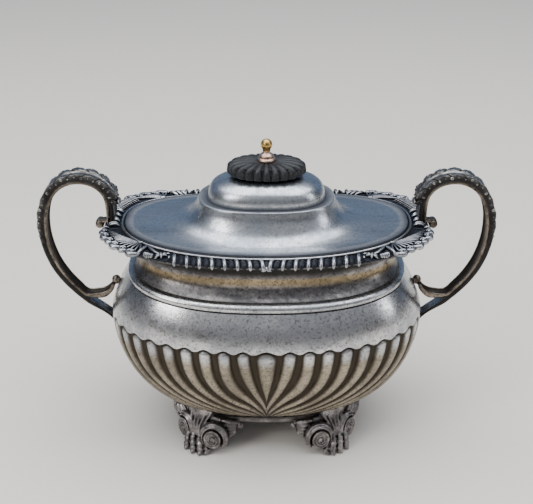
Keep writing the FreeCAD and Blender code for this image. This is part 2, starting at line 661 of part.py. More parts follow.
def paw_foot(block):
    """The foot at -X -Y: p runs back along the bowl's side from its middle, q points outwards."""
    half = PAW_WIDTH / 2
    top = BASE_Z + ANKLE_BURY
    left, right = PAW_SHIFT - half, PAW_SHIFT + half
    paw = foot_block((left, right, -3.2, 3.6, 0), (left + 0.8, right - 0.8, -3.0, 2.6, PAW_HEIGHT))
    ankle_low = (left + 1, right - 1, -3.0, 2.2, 0.7 * PAW_HEIGHT)
    ankle_high = (-half - 4, half + 4, -8.0, -2.4, top)
    pieces = [paw, foot_block(ankle_low, ankle_high)]
    for reach, back, splay in (
            (-INNER_VOLUTE_REACH, INNER_VOLUTE_BACK, INNER_SPLAY),
            (OUTER_VOLUTE_REACH, OUTER_VOLUTE_BACK, -OUTER_SPLAY)):
        centre = V(reach, back, VOLUTE_HEIGHT)
        turn = math.radians(90 + splay)
        axis = V(math.cos(turn), math.sin(turn), 0)
        pieces.append(Part.makeCylinder(VOLUTE_RADIUS, VOLUTE_DEPTH, centre, axis))
        near, far = min(0, reach), max(0, reach)
        bridge_low = (near, far, -3.0, 1.6, VOLUTE_HEIGHT - 2.0)
        bridge_high = (near, far, -5.0, 1.6, VOLUTE_HEIGHT + 7.0)
        pieces.append(foot_block(bridge_low, bridge_high))
    pieces.append(wing((-6.0, -0.5, 6.5, 17.5), (-INNER_WING_REACH, -9.6, 13.0, 16.0), WING_THICKNESS))
    pieces.append(wing((6.0, -1.5, 8.5, 18.5), (OUTER_WING_REACH, -4.6, 16.0, 20.0), WING_THICKNESS))
    foot = pieces[0].fuse(pieces[1:])
    floor = Part.makeBox(80, 80, 20, V(-40, -40, -20))
    foot = foot.cut(floor)
    foot.rotate(V(0, 0, 0), V(0, 0, 1), 90 + FOOT_TURN)
    foot.translate(V(-FOOT_STANCE_X, -FOOT_STANCE_Y, 0))
    return largest(foot.cut(block).cut(base_outline())).removeSplitter()


# ---------------------------------------------------------------- assembly
def mirrored(shape, axis):
    return shape.mirror(V(0, 0, 0), axis)


def main():
    os.makedirs("parts", exist_ok=True)
    across, along = V(1, 0, 0), V(0, 1, 0)
    bowl = bowl_outline()
    flange = rim_flange()

    save("body_shell", body_shell())
    save("base_ring", base_ring())
    save("shoulder_moulding", shoulder_moulding())
    save("neck_collar", neck_collar())
    save("rim_flange", flange)
    save("seat_wire", seat_wire())
    save("lid_cover", lid_cover())
    save("lid_bezel", lid_bezel())
    save("knob", knob())
    save("finial_screw", finial_screw())
    save("knob_washer", knob_washer())
    save("knob_nut", knob_nut())

    gadroon = ornament(-137, -43, ORNAMENT_OVERHANG)
    save("gadroon_front", gadroon)
    save("gadroon_back", mirrored(gadroon, along))
    corner = ornament(-42.5, -8.5, SHELL_OVERHANG)
    shells = {"front_right": corner, "front_left": mirrored(corner, across)}
    for name, shape in shells.items():
        save("shell_" + name, shape)
        save("shell_" + name.replace("front", "back"), mirrored(shape, along))

    end_gadroon = ornament(-8, 8, ORNAMENT_OVERHANG)
    save("gadroon_right", end_gadroon)
    save("gadroon_left", mirrored(end_gadroon, across))

    pieces = handle_pieces(bowl.fuse([flange, end_gadroon]))
    for name, shape in pieces.items():
        save("right_handle_" + name, shape)
        save("left_handle_" + name, mirrored(shape, across))

    foot = paw_foot(bowl)
    feet = {"front_left": foot, "front_right": mirrored(foot, across)}
    for name, shape in feet.items():
        save("paw_foot_" + name, shape)
        save("paw_foot_" + name.replace("front", "back"), mirrored(shape, along))


main()
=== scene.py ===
"""Looks of the covered sugar bowl: detailed silver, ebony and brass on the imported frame.

Sizes are millimetres until a mesh is made. +Z is up, +X runs from handle to handle.
Every level of the bowl and lid is a ring: a rounded oblong with its own half length, half
width, squareness and bend, which lifts it by bend times x squared towards its two ends.
"""
import math

import bmesh
import bpy
import numpy as np
from mathutils import Matrix, Vector


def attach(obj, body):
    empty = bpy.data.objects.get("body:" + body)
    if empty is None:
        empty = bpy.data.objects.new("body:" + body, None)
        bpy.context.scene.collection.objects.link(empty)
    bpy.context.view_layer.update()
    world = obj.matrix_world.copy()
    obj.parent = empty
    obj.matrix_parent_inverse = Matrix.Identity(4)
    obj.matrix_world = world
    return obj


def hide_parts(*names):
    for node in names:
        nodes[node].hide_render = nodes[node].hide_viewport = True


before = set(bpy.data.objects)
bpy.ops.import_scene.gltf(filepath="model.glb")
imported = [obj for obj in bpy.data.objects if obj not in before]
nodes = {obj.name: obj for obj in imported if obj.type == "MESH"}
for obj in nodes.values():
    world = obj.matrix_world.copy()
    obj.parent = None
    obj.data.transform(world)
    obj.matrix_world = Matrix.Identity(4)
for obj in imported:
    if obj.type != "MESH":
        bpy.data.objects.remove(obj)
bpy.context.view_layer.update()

# ---------------------------------------------------------------- sizes
BASE_Z, BELLY_Z, SHOULDER_Z = 17.5, 62.0, 79.3
NECK_Z, NECK_HEIGHT, SEAT_Z = 83.7, 17.9, 103.8
BASE_L, BASE_W, BASE_SQUARE = 41.3, 28.1, 2.2
BELLY_L, BELLY_W, BELLY_ROUND = 73.6, 50.0, 1.9
SHOULDER_L, SHOULDER_W, SHOULDER_SQUARE = 64.7, 44.0, 2.75
SHOULDER_LIFT = 4.0            # how much higher the moulding is at its ends
SHOULDER_BEND = SHOULDER_LIFT / SHOULDER_L ** 2
MOUTH_L, MOUTH_W, MOUTH_SQUARE = 63.6, 35.4, 2.36
RIM_L, RIM_W, RIM_SQUARE = 74.5, 43.5, 2.75
RIM_LIFT, RIM_FALL = 2.25, 1.5  # rise to the ends, and drop from the mouth to the outer edge
RIM_BEND = RIM_LIFT / MOUTH_L ** 2
WIRE_OFFSET, WIRE_RADIUS = 3.2, 0.62
LID_Z, LID_L, LID_W, LID_WALL = 104.9, 65.4, 37.2, 0.9
LID_MARGIN = 4.2               # the lid's flat edge, over the ledge and the bezel
RIDGE_Z, RIDGE_L, RIDGE_W = 118.1, 31.3, 22.0
DOME_Z, DOME_L, DOME_W, DOME_SQUARE = 128.9, 27.0, 18.6, 2.5
KNOB_Z, KNOB_L, KNOB_W, KNOB_SQUARE = 135.4, 18.2, 12.6, 2.2
BALL_RADIUS, FINIAL_TOP = 2.65, 145.7
SHANK_HOLE = 1.7
WALL, NECK_WALL = 1.2, 1.3
STRAP_THICK, RIBBON_THICK = 2.4, 1.7
FOOT_X, FOOT_Y, FOOT_TURN = -33.2, -30.9, math.radians(151.5)

# The lobes round the lower bowl, in the quarter from the front's middle to one end
LOBES = 11
LOBE_FIRST = 0.1021            # first lobe, as a share of the quarter's length
LOBE_PITCH = (1 - LOBE_FIRST) / (LOBES - 0.5)
LOBE_HALF = 0.350              # half width of a lobe, in pitches
LOBE_TOP = 59.9                # level of the middle of each lobe's round end
LOBE_DEPTH = 1.8
LOBE_SWEEP = 0.453             # how far a lobe runs towards the end, in quarters


# ---------------------------------------------------------------- number work
def smooth_run(rows, count):
    """Rows of numbers, resampled along a smooth curve through them."""
    rows = np.array(rows, float)
    gaps = np.linalg.norm(np.diff(rows, axis=0), axis=1) ** 0.5
    knots = np.concatenate([[0], np.cumsum(gaps)])
    slopes = np.gradient(rows, knots, axis=0)
    t = np.linspace(0, knots[-1], count) if np.isscalar(count) else np.interp(
        count, np.arange(len(rows)), knots)
    i = np.clip(np.searchsorted(knots, t, "right") - 1, 0, len(rows) - 2)
    gap = (knots[i + 1] - knots[i])[:, None]
    u = ((t - knots[i]) / gap[:, 0])[:, None]
    return (rows[i] * (1 + 2 * u) * (1 - u) ** 2 + slopes[i] * gap * u * (1 - u) ** 2
            + rows[i + 1] * u * u * (3 - 2 * u) + slopes[i + 1] * gap * u * u * (u - 1))


def smooth_step(x):
    x = np.clip(x, 0, 1)
    return x * x * (3 - 2 * x)


def spread(values, count):
    """Values spread evenly along count places."""
    values = np.atleast_1d(values)
    return np.interp(np.linspace(0, 1, count), np.linspace(0, 1, len(values)), values)


def unit(v):
    return v / np.maximum(np.linalg.norm(v, axis=-1, keepdims=True), 1e-9)


def ring(azimuth, length, width, square, z, bend=0.0):
    """Points of one level: a rounded oblong of two half sizes."""
    azimuth = np.asarray(azimuth, float)
    across = np.abs(np.cos(azimuth) / length) ** square
    along = np.abs(np.sin(azimuth) / width) ** square
    radius = (across + along) ** (-1 / square)
    x = radius * np.cos(azimuth)
    return np.stack([x, radius * np.sin(azimuth), z + bend * x * x], -1)


def even_azimuths(count, length=MOUTH_L, width=MOUTH_W, square=MOUTH_SQUARE):
    """Azimuths of points spaced evenly along a whole ring, from +X."""
    fine = np.linspace(0, 2 * math.pi, 2881)
    points = ring(fine, length, width, square, 0)
    run = np.concatenate([[0], np.cumsum(np.linalg.norm(np.diff(points, axis=0), axis=1))])
    return np.interp(np.linspace(0, run[-1], count, endpoint=False), run, fine)


def grid_normals(points):
    """Unit normals of a grid of points, rows up and columns right round."""
    round_way = np.roll(points, -1, 1) - np.roll(points, 1, 1)
    return unit(np.cross(round_way, np.gradient(points, axis=0)))


# ---------------------------------------------------------------- mesh work
class Clay:
    """The points and faces of one piece, in millimetres, with how dark each point is painted: tarnish with
    painted shade.
    """

    def __init__(self):
        self.points, self.faces, self.dirt, self.count = [], [], [], 0

    def grid(self, points, close_rows=False, dirt=0.0):
        """Rows of points joined by quads; each row closes on itself."""
        rows, cols = points.shape[:2]
        index = self.count + np.arange(rows * cols).reshape(rows, cols)
        index = np.concatenate([index, index[:, :1]], 1)
        if close_rows:
            index = np.concatenate([index, index[:1]], 0)
        quads = np.stack([index[:-1, :-1], index[:-1, 1:], index[1:, 1:], index[1:, :-1]], -1)
        self.points.append(points.reshape(-1, 3))
        self.faces += quads.reshape(-1, 4).tolist()
        self.dirt.append(np.broadcast_to(dirt, (rows, cols)).ravel())
        self.count += rows * cols

    def tube(self, rings, dirt=0.0):
        """A run of closed sections with a flat face on each end."""
        rows, cols = rings.shape[:2]
        start = self.count
        self.grid(rings, dirt=dirt)
        self.faces.append([start + k for k in range(cols)])
        self.faces.append([start + (rows - 1) * cols + k for k in reversed(range(cols))])

    def bar(self, path, wide, high, up=(0, 0, 1), sides=12, count=14, plump=0.5, lean=1.0, dirt=0.0):
        """A rounded bar along a path, thickest past its middle where lean is over 1."""
        path = smooth_run(path, count)
        t = np.linspace(0.006, 0.994, count)
        swell = np.sin(math.pi * t ** lean) ** plump
        self.tube(oval_rings(path, wide * swell, high * swell, up, sides), dirt)

    def cord(self, path, wide, high, up=(0, 0, 1), sides=10, count=None):
        """A bar with given half widths and half heights along its path."""
        path = np.asarray(path, float) if count is None else smooth_run(path, count)
        self.tube(oval_rings(path, spread(wide, len(path)), spread(high, len(path)), up, sides))

    def blob(self, centre, size, rings=8, sides=12):
        """An ellipsoid of three half sizes."""
        polar = np.linspace(0.06, math.pi - 0.06, rings)[:, None]
        turn = np.linspace(0, 2 * math.pi, sides, endpoint=False)[None, :]
        ball = np.stack([np.sin(polar) * np.cos(turn), np.sin(polar) * np.sin(turn),
                         np.cos(polar) * np.ones_like(turn)], -1)
        self.tube(np.asarray(centre, float) + ball * size)

    def mesh(self, name):
        made = bpy.data.meshes.new(name)
        made.from_pydata((np.concatenate(self.points) * 0.001).tolist(), [], self.faces)
        # each point's share of painted shade with tarnish, which the silver materials darken by
        layer = made.attributes.new("dirt", "FLOAT", "POINT")
        layer.data.foreach_set("value", np.concatenate(self.dirt).astype(np.float32))
        return made


def oval_rings(path, wide, high, up, sides):
    """Oval sections square to a path."""
    along = unit(np.gradient(path, axis=0))
    up = np.broadcast_to(np.asarray(up, float), path.shape)
    upward = unit(up - along * (up * along).sum(-1, keepdims=True))
    across = np.cross(along, upward)
    turn = np.linspace(0, 2 * math.pi, sides, endpoint=False)
    return (path[:, None]
            + across[:, None] * (np.cos(turn)[None, :] * np.reshape(wide, (-1, 1)))[..., None]
            + upward[:, None] * (np.sin(turn)[None, :] * np.reshape(high, (-1, 1)))[..., None])


def melt(mesh, voxel):
    """Joins overlapping closed lumps into one cast skin."""
    lump = bpy.data.objects.new("melting", mesh)
    bpy.context.scene.collection.objects.link(lump)
    remesh = lump.modifiers.new("remesh", "REMESH")
    remesh.mode = "VOXEL"
    remesh.voxel_size = voxel * 0.001
    smooth = lump.modifiers.new("smooth", "SMOOTH")
    smooth.iterations = 1
    smooth.factor = 0.5
    skin = bpy.data.meshes.new_from_object(lump.evaluated_get(bpy.context.evaluated_depsgraph_get()))
    bpy.data.objects.remove(lump)
    return skin


def outward(mesh, sharp=None):
    """Turns every face outwards and shades the mesh smooth, with creases past an angle."""
    shape = bmesh.new()
    shape.from_mesh(mesh)
    bmesh.ops.recalc_face_normals(shape, faces=shape.faces)
    shape.to_mesh(mesh)
    shape.free()
    mesh.shade_smooth()
    if sharp:
        mesh.set_sharp_from_angle(angle=math.radians(sharp))


def piece(name, clay, material, replaced, sharp=None, flip=(1, 1), body="bowl"):
    """Makes one object of the visual model; flip mirrors it in x and y."""
    mesh = clay if isinstance(clay, bpy.types.Mesh) else clay.mesh(name)
    if flip != (1, 1):
        mesh = mesh.copy()
        mesh.transform(Matrix.Diagonal((*flip, 1, 1)))
    mesh.name = name
    outward(mesh, sharp)
    mesh.materials.clear()
    mesh.materials.append(material)
    made = bpy.data.objects.new(name, mesh)
    bpy.context.scene.collection.objects.link(made)
    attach(made, body)
    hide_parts(replaced)


# ---------------------------------------------------------------- materials
class Nodes:
    """A small helper round one node tree."""

    def __init__(self, tree):
        self.tree = tree

    def node(self, kind, **settings):
        made = self.tree.nodes.new(kind)
        for key, value in settings.items():
            setattr(made, key, value)
        return made

    def link(self, source, target):
        if isinstance(source, (int, float)):
            target.default_value = source
        else:
            self.tree.links.new(source, target)

    def span(self, source, low, high, to_low=0.0, to_high=1.0):
        """Moves low..high to to_low..to_high, smoothly and clamped."""
        made = self.node("ShaderNodeMapRange", interpolation_type="SMOOTHSTEP")
        for value, socket in zip((source, low, high, to_low, to_high), made.inputs):
            self.link(value, socket)
        return made.outputs[0]

    def math(self, operation, first, second):
        made = self.node("ShaderNodeMath", operation=operation)
        self.link(first, made.inputs[0])
        self.link(second, made.inputs[1])
        return made.outputs[0]

    def mix(self, share, first, second):
        """A colour between two colours."""
        made = self.node("ShaderNodeMix", data_type="RGBA")
        self.link(share, made.inputs["Factor"])
        for value, socket in ((first, made.inputs[6]), (second, made.inputs[7])):
            if isinstance(value, tuple):
                socket.default_value = (*value, 1)
            else:
                self.link(value, socket)
        return made.outputs[2]


class Shader(Nodes):
    """A material with its surface shader and a place in the piece's own frame."""

    def __init__(self, name):
        self.material = bpy.data.materials.new(name)
        self.material.use_nodes = True
        super().__init__(self.material.node_tree)
        self.surface = self.tree.nodes["Principled BSDF"]
        self.place = self.node("ShaderNodeTexCoord").outputs["Object"]

    def noise(self, scale, detail=4.0, rough=0.55, stretch=(1, 1, 1), distortion=0.0):
        """Noise from 0 to 1 whose features are about one scale-th of a metre."""
        mapping = self.node("ShaderNodeMapping")
        mapping.inputs["Scale"].default_value = stretch
        self.link(self.place, mapping.inputs["Vector"])
        noise = self.node("ShaderNodeTexNoise")
        noise.inputs["Scale"].default_value = scale
        noise.inputs["Detail"].default_value = detail
        noise.inputs["Roughness"].default_value = rough
        noise.inputs["Distortion"].default_value = distortion
        self.link(mapping.outputs[0], noise.inputs["Vector"])
        return noise.outputs[0]

    def height(self):
        split = self.node("ShaderNodeSeparateXYZ")
        self.link(self.place, split.inputs[0])
        return split.outputs["Z"]

    def recess(self, distance):
        """1 in a narrow recess and 0 in the open, from ambient occlusion: the materials darken hollows by it
        as painted shade.
        """
        shade = self.node("ShaderNodeAmbientOcclusion", samples=8, only_local=True)
        shade.inputs["Distance"].default_value = distance * 0.001
        return self.math("SUBTRACT", 1.0, shade.outputs["AO"])

    def bump(self, source, strength, distance):
        made = self.node("ShaderNodeBump")
        made.inputs["Strength"].default_value = strength
        made.inputs["Distance"].default_value = distance * 0.001
        self.link(source, made.inputs["Height"])
        self.link(made.outputs[0], self.surface.inputs["Normal"])


def silver(name, bright, dull, dark, rough, cloud=45, brushed=None, recess=None, warm_floor_reflection=None, pits=0.5):
    """Worn silver plate: bright and dull are its two clouded tones, dark its deep tarnish and the colour of
    its painted shade.

    recess is the reach in mm and the two openness limits of tarnish with painted shade in hollows, found by
    ambient occlusion, and the painted floor reflection is a tint, its strength and the levels in mm where it
    rises and falls.
    """
    s = Shader(name)
    clouds = s.noise(cloud, 5, 0.62, distortion=0.6)
    mottle = s.noise(420, 6, 0.7)
    tone = s.math("ADD", s.math("MULTIPLY", clouds, 0.62), s.math("MULTIPLY", mottle, 0.38))
    colour = s.mix(s.span(tone, 0.38, 0.62), dull, bright)
    if brushed:
        streaks = s.noise(60, 6, 0.75, stretch=brushed)
        colour = s.mix(s.span(streaks, 0.42, 0.72, 0.0, 0.34), colour, dark)
    # painted reflection of a wooden floor: a tint laid over a band of levels
    if warm_floor_reflection:
        tint, strength, rise_from, rise_to, fall_from, fall_to = warm_floor_reflection
        level = s.height()
        share = s.math("MULTIPLY", s.span(level, rise_from * 0.001, rise_to * 0.001, 0.0, strength),
                       s.span(level, fall_from * 0.001, fall_to * 0.001, 1.0, 0.0))
        colour = s.mix(share, colour, s.mix(s.span(tone, 0.4, 0.6), tuple(0.6 * c for c in tint), tint))
    specks = s.noise(850, 5, 0.72)
    colour = s.mix(s.span(specks, 0.50, 0.64, 0.0, pits), colour, dark)
    # tarnish with painted shade: the per point share, raised by ambient occlusion in hollows, darkens the
    # colour towards the dark tone and dulls it
    tarnish_shade_share = s.node("ShaderNodeAttribute", attribute_name="dirt").outputs["Fac"]
    if recess:
        distance, low, high = recess
        tarnish_shade_share = s.math("MAXIMUM", tarnish_shade_share, s.span(s.recess(distance), low, high))
    tarnish_shade_share = s.math("MULTIPLY", tarnish_shade_share, s.span(mottle, 0.2, 0.6, 0.88, 1.0))
    tarnish_shade_share = s.math("MULTIPLY", tarnish_shade_share, s.math("SUBTRACT", 2.0, tarnish_shade_share))
    s.link(s.mix(tarnish_shade_share, colour, dark), s.surface.inputs["Base Color"])
    s.link(s.span(tarnish_shade_share, 0.0, 1.0, 1.0, 0.35), s.surface.inputs["Metallic"])
    worn = s.math("ADD", s.span(tone, 0.35, 0.65, rough[1], rough[0]), s.math("MULTIPLY", tarnish_shade_share, 0.2))
    s.link(worn, s.surface.inputs["Roughness"])
    s.surface.inputs["Specular IOR Level"].default_value = 0.25
    s.bump(s.math("ADD", mottle, s.math("MULTIPLY", specks, 0.5)), 0.16, 0.25)
    return s.material


# dark colour of the body: tarnish in the pits, and the painted shade in the grooves, the crevice and the
# lining
GROOVE_TARNISH_AND_SHADE = (0.036, 0.026, 0.015)
# the lower bowl takes a painted beige reflection of a wooden floor, below the lobes' tops
body_silver = silver(
    "worn_silver_body", (0.70, 0.70, 0.70), (0.40, 0.41, 0.44), GROOVE_TARNISH_AND_SHADE, (0.20, 0.36),
    warm_floor_reflection=((0.36, 0.305, 0.225), 0.92, -2, -1, 54, 60.5), pits=0.6)
# neck and rim plate: the silver in darker tones as painted shade, with a painted golden floor reflection in
# a band on the neck
shaded_neck_silver = silver(
    "worn_silver_neck_shaded", (0.42, 0.40, 0.39), (0.13, 0.125, 0.135), (0.009, 0.007, 0.005), (0.18, 0.32),
    warm_floor_reflection=((0.40, 0.30, 0.16), 0.85, 88.5, 91.5, 92.5, 94.5), pits=0.6, recess=(5, 0.30, 0.75))
# the lid: bluish tones as a painted reflection of a blue wall
lid_silver = silver(
    "worn_silver_lid", (0.62, 0.64, 0.67), (0.36, 0.39, 0.44), (0.05, 0.055, 0.07), (0.22, 0.38),
    brushed=(0.12, 1.6, 1.6), recess=(3, 0.4, 0.9), pits=0.35)
cast_silver = silver(
    "worn_silver_border", (0.52, 0.53, 0.56), (0.25, 0.255, 0.28), (0.006, 0.008, 0.015), (0.22, 0.36),
    recess=(1.9, 0.14, 0.42), pits=0.3)
# handles, ribbons and root curls: the silver in darker tones as painted shade
shaded_handle_silver = silver(
    "worn_silver_handle_shaded", (0.42, 0.41, 0.40), (0.075, 0.07, 0.068), (0.008, 0.006, 0.005), (0.22, 0.38),
    recess=(2.2, 0.08, 0.36), cloud=120)
shaded_ribbon_silver = silver(
    "worn_silver_ribbon_shaded", (0.24, 0.20, 0.165), (0.07, 0.058, 0.047), (0.010, 0.007, 0.005), (0.24, 0.40),
    recess=(2.5, 0.2, 0.6), cloud=90)
foot_silver = silver(
    "worn_silver_foot", (0.36, 0.33, 0.325), (0.13, 0.12, 0.12), (0.010, 0.008, 0.007), (0.30, 0.46),
    recess=(1.9, 0.10, 0.34), cloud=110)


def ebony_material():
    s = Shader("ebonised_wood")
    grain = s.noise(700, 6, 0.7, stretch=(0.25, 1, 1))
    wear = s.noise(160, 4, 0.6)
    colour = s.mix(s.span(grain, 0.35, 0.7), (0.004, 0.0045, 0.006), (0.014, 0.016, 0.021))
    # painted shade: the knob's hollows nearly black, from ambient occlusion
    colour = s.mix(s.span(s.recess(1.6), 0.2, 0.7), colour, (0.0015, 0.0015, 0.002))
    s.link(colour, s.surface.inputs["Base Color"])
    s.link(s.span(wear, 0.3, 0.7, 0.36, 0.54), s.surface.inputs["Roughness"])
    s.surface.inputs["Specular IOR Level"].default_value = 0.45
    s.bump(grain, 0.25, 0.2)
    return s.material


def brass_material(name, bright, dull, skirt=None):
    s = Shader(name)
    patina = s.noise(500, 5, 0.65)
    colour = s.mix(s.span(patina, 0.35, 0.65), dull, bright)
    if skirt:
        tint, low, high = skirt  # another tint below a level
        colour = s.mix(s.span(s.height(), low * 0.001, high * 0.001, 0.9, 0.0), colour, tint)
    # darker brown in hollows, from ambient occlusion: patina with painted shade
    colour = s.mix(s.span(s.recess(1.2), 0.3, 0.8), colour, (0.05, 0.03, 0.015))
    s.link(colour, s.surface.inputs["Base Color"])
    s.surface.inputs["Metallic"].default_value = 1.0
    s.link(s.span(patina, 0.3, 0.7, 0.22, 0.42), s.surface.inputs["Roughness"])
    s.bump(patina, 0.12, 0.15)
    return s.material


ebony = ebony_material()
finial_brass = brass_material(
    "tarnished_brass", (0.66, 0.44, 0.15), (0.38, 0.24, 0.08), skirt=((0.52, 0.36, 0.30), 139.6, 140.6))
nut_brass = brass_material("dull_brass", (0.55, 0.40, 0.18), (0.30, 0.21, 0.10))


# ---------------------------------------------------------------- bowl
def body_level(z):
    """Half length, half width, squareness and bend of the bowl at a level."""
    fall = np.clip((BELLY_Z - z) / (BELLY_Z - BASE_Z), 0, 1)
    swell = (1 - fall ** BELLY_ROUND) ** (1 / BELLY_ROUND)
    pull = np.clip((z - BELLY_Z) / (SHOULDER_Z - BELLY_Z), 0, 1) ** 1.6
    length = BASE_L + (BELLY_L - BASE_L) * swell - (BELLY_L - SHOULDER_L) * pull
    width = BASE_W + (BELLY_W - BASE_W) * swell - (BELLY_W - SHOULDER_W) * pull
    share = np.clip((z - BASE_Z - WALL) / (SHOULDER_Z - BASE_Z - WALL), 0, 1)
    square = BASE_SQUARE + (SHOULDER_SQUARE - BASE_SQUARE) * share ** 1.5
    return length, width, square, SHOULDER_LIFT * share ** 2 / length ** 2


def lobe_start(place, height):
    """Where the lobe at this share of a quarter started at the top; height runs from 0 to 1."""
    sweep = LOBE_SWEEP * (1 - height) ** 3.41
    phase = math.pi * np.minimum(height, 0.95) / 0.95
    bow = 0.018 * np.exp(-((place - 0.09) / 0.06) ** 2) * np.sin(phase)
    return place + sweep * (1 - 0.5 * np.exp(-place / 0.03)) + bow


def lobed_quarter():
    """Points of the outside from the front's middle to the +X end, and which lobe each is on."""
    turn = np.linspace(0, math.radians(81), 62)
    low = BELLY_Z - (BELLY_Z - BASE_Z) * np.cos(turn) ** (2 / BELLY_ROUND)
    levels = np.concatenate([low, np.arange(low[-1] + 0.45, 65.5, 0.42), np.linspace(66, SHOULDER_Z, 14)])
    starts = np.linspace(0, 1, 17 * LOBES)
    points = np.zeros((len(levels), len(starts), 3))
    order = np.zeros((len(levels), len(starts)))
    fine = np.linspace(-math.pi / 2, 0, 721)
    for row, z in enumerate(levels):
        length, width, square, bend = body_level(z)
        outline = ring(fine, length, width, square, z, bend)
        run = np.concatenate([[0], np.cumsum(np.linalg.norm(np.diff(outline, axis=0), axis=1))])
        height = min((z - BASE_Z) / (61 - BASE_Z), 1.0)
        # columns lean with the lobes, and spread over the end where the lobes have left it
        lean = 0.55 * (1 - height) ** 3
        places = np.sqrt(starts ** 2 + lean ** 2) - lean
        places = places / places[-1]
        order[row] = (lobe_start(places, height) - LOBE_FIRST) / LOBE_PITCH
        azimuths = np.interp(places * run[-1], run, fine)
        points[row] = ring(azimuths, length, width, square, z, bend)
    return levels, points, order


def lobe_cut(levels, order, pitch):
    """How far each point lies down the side of its lobe: 0 on the lobe and 1 in the groove."""
    nearest = np.clip(np.round(order), 0, LOBES - 1)
    off = np.abs(order - nearest)
    along = np.maximum(levels - LOBE_TOP, 0)
    reach = np.hypot(off * pitch, along) / (LOBE_HALF * pitch)
    hollow = 1 - np.sqrt(1 - np.minimum(reach, 1) ** 2)
    # the broad drop in the middle of each side
    drop_edge = -(1 - LOBE_HALF)
    inward = (drop_edge - order) / np.maximum(drop_edge - order[:, :1], 1e-3)
    drop = np.hypot(1 - inward, np.maximum(levels - 58.3, 0) / 4.44)
    hollow = np.where(order < drop_edge, 1 - np.sqrt(1 - np.minimum(drop, 1) ** 2), hollow)
    # the tongue that widens towards the base at each end
    inside = np.clip((order - (LOBES - LOBE_HALF)) / 0.35, 0, 1)
    tongue = 1 - np.sqrt(1 - (1 - inside) ** 2)
    hollow = np.where(order > LOBES - LOBE_HALF, tongue, hollow)
    # the grooves end in a wavy line over the lobes, and fade out at the base
    half_drop = LOBE_FIRST / LOBE_PITCH + drop_edge
    phase = np.where(order >= -0.5, 2 * math.pi * order,
                     math.pi + math.pi * (-0.5 - order) / (half_drop + 0.184))
    edge = 3.2 + 0.8 * np.cos(phase)
    under = smooth_step(edge - (levels - LOBE_TOP))
    return hollow * under * smooth_step((levels - BASE_Z - 0.6) / 3.0)


def mirrored(values, x_sign=1, y_sign=1):
    """A quarter mirrored into all four, from the front's middle right round."""
    half = np.concatenate([values, (values * y_sign)[:, -2::-1]], 1)
    return np.concatenate([half, (half * x_sign)[:, -2:0:-1]], 1)


def body():
    """The lobed shell: an outside, a lining with half as many columns, and a strip that joins them."""
    levels, quarter, order = lobed_quarter()
    levels = levels[:, None]
    # spacing of the lobes square to their own line
    up_way = unit(np.gradient(quarter, axis=0))
    crossing = np.linalg.norm(np.cross(up_way, np.gradient(quarter, axis=1)), axis=-1)
    pitch = np.clip(crossing / np.maximum(np.gradient(order, axis=1), 1e-6), 0.05, 12)
    cut = lobe_cut(levels, order, pitch)
    full = mirrored(quarter, np.array([-1, 1, 1]), np.array([1, -1, 1]))
    cut, depth = mirrored(cut), mirrored(np.minimum(LOBE_DEPTH, 0.24 * pitch))
    sunk = cut * depth
    normal = grid_normals(full)
    outside = full - normal * sunk[..., None]

    thin = slice(0, None, 2)
    lining = full[:, thin] - normal[:, thin] * (sunk[:, thin] * 0.8 + WALL)[..., None]
    lining[0] = lining[1]
    lining[:, :, 2] = np.maximum(lining[:, :, 2], BASE_Z + WALL)
    lining[-1, :, 2] = full[-1, thin, 2]
    clay = Clay()
    # painted shade with tarnish: the grooves between the lobes nearly black; the lining darkened a quarter
    # as shade
    clay.grid(outside, dirt=0.92 * smooth_step(cut * 1.3))
    clay.grid(lining[::-1], dirt=0.25)
    rows, cols = outside.shape[:2]
    inner_cols = lining.shape[1]
    brim, first_lining = (rows - 1) * cols, clay.count - rows * inner_cols
    for k in range(inner_cols):
        a, b, c = (brim + (2 * k + i) % cols for i in range(3))
        clay.faces.append([a, b, c, first_lining + (k + 1) % inner_cols, first_lining + k])
    clay.faces.append(list(range(cols)))
    floor = clay.count - inner_cols
    clay.faces.append(list(range(floor, clay.count)))
    return clay


piece("lobed_body", body(), body_silver, "body_shell", sharp=50)


def moulding():
    """The rolled band between shoulder and neck, over a dark crevice."""
    section = [(-3.3, 0), (-1.3, 0.02), (-0.75, 0.1), (-0.35, 0.42), (0.05, 0.85), (0.28, 1.5),
               (0.3, 2.1), (0.05, 2.85), (-0.5, 3.5), (-1.2, 3.98), (-1.9, 4.25), (-2.5, 4.4),
               (-3.2, 4.42), (-4.2, 4.3), (-4.6, 2.7), (-4.2, 0.5), (-3.3, 0)]
    section = smooth_run(section, 52)[:-1]
    square = SHOULDER_SQUARE
    azimuths = even_azimuths(260, SHOULDER_L, SHOULDER_W, square)
    rings = [ring(azimuths, SHOULDER_L + out, SHOULDER_W + out, square, SHOULDER_Z + up, SHOULDER_BEND)
             for out, up in section]
    # painted shade: nearly black in the crevice at the foot of the roll, and partly dark on its hidden back
    dark = np.where(section[:, 0] > -3, smooth_step((0.9 - section[:, 1]) / 0.7) * 0.97, 0.4)
    clay = Clay()
    clay.grid(np.stack(rings), close_rows=True, dirt=dark[:, None])
    return clay


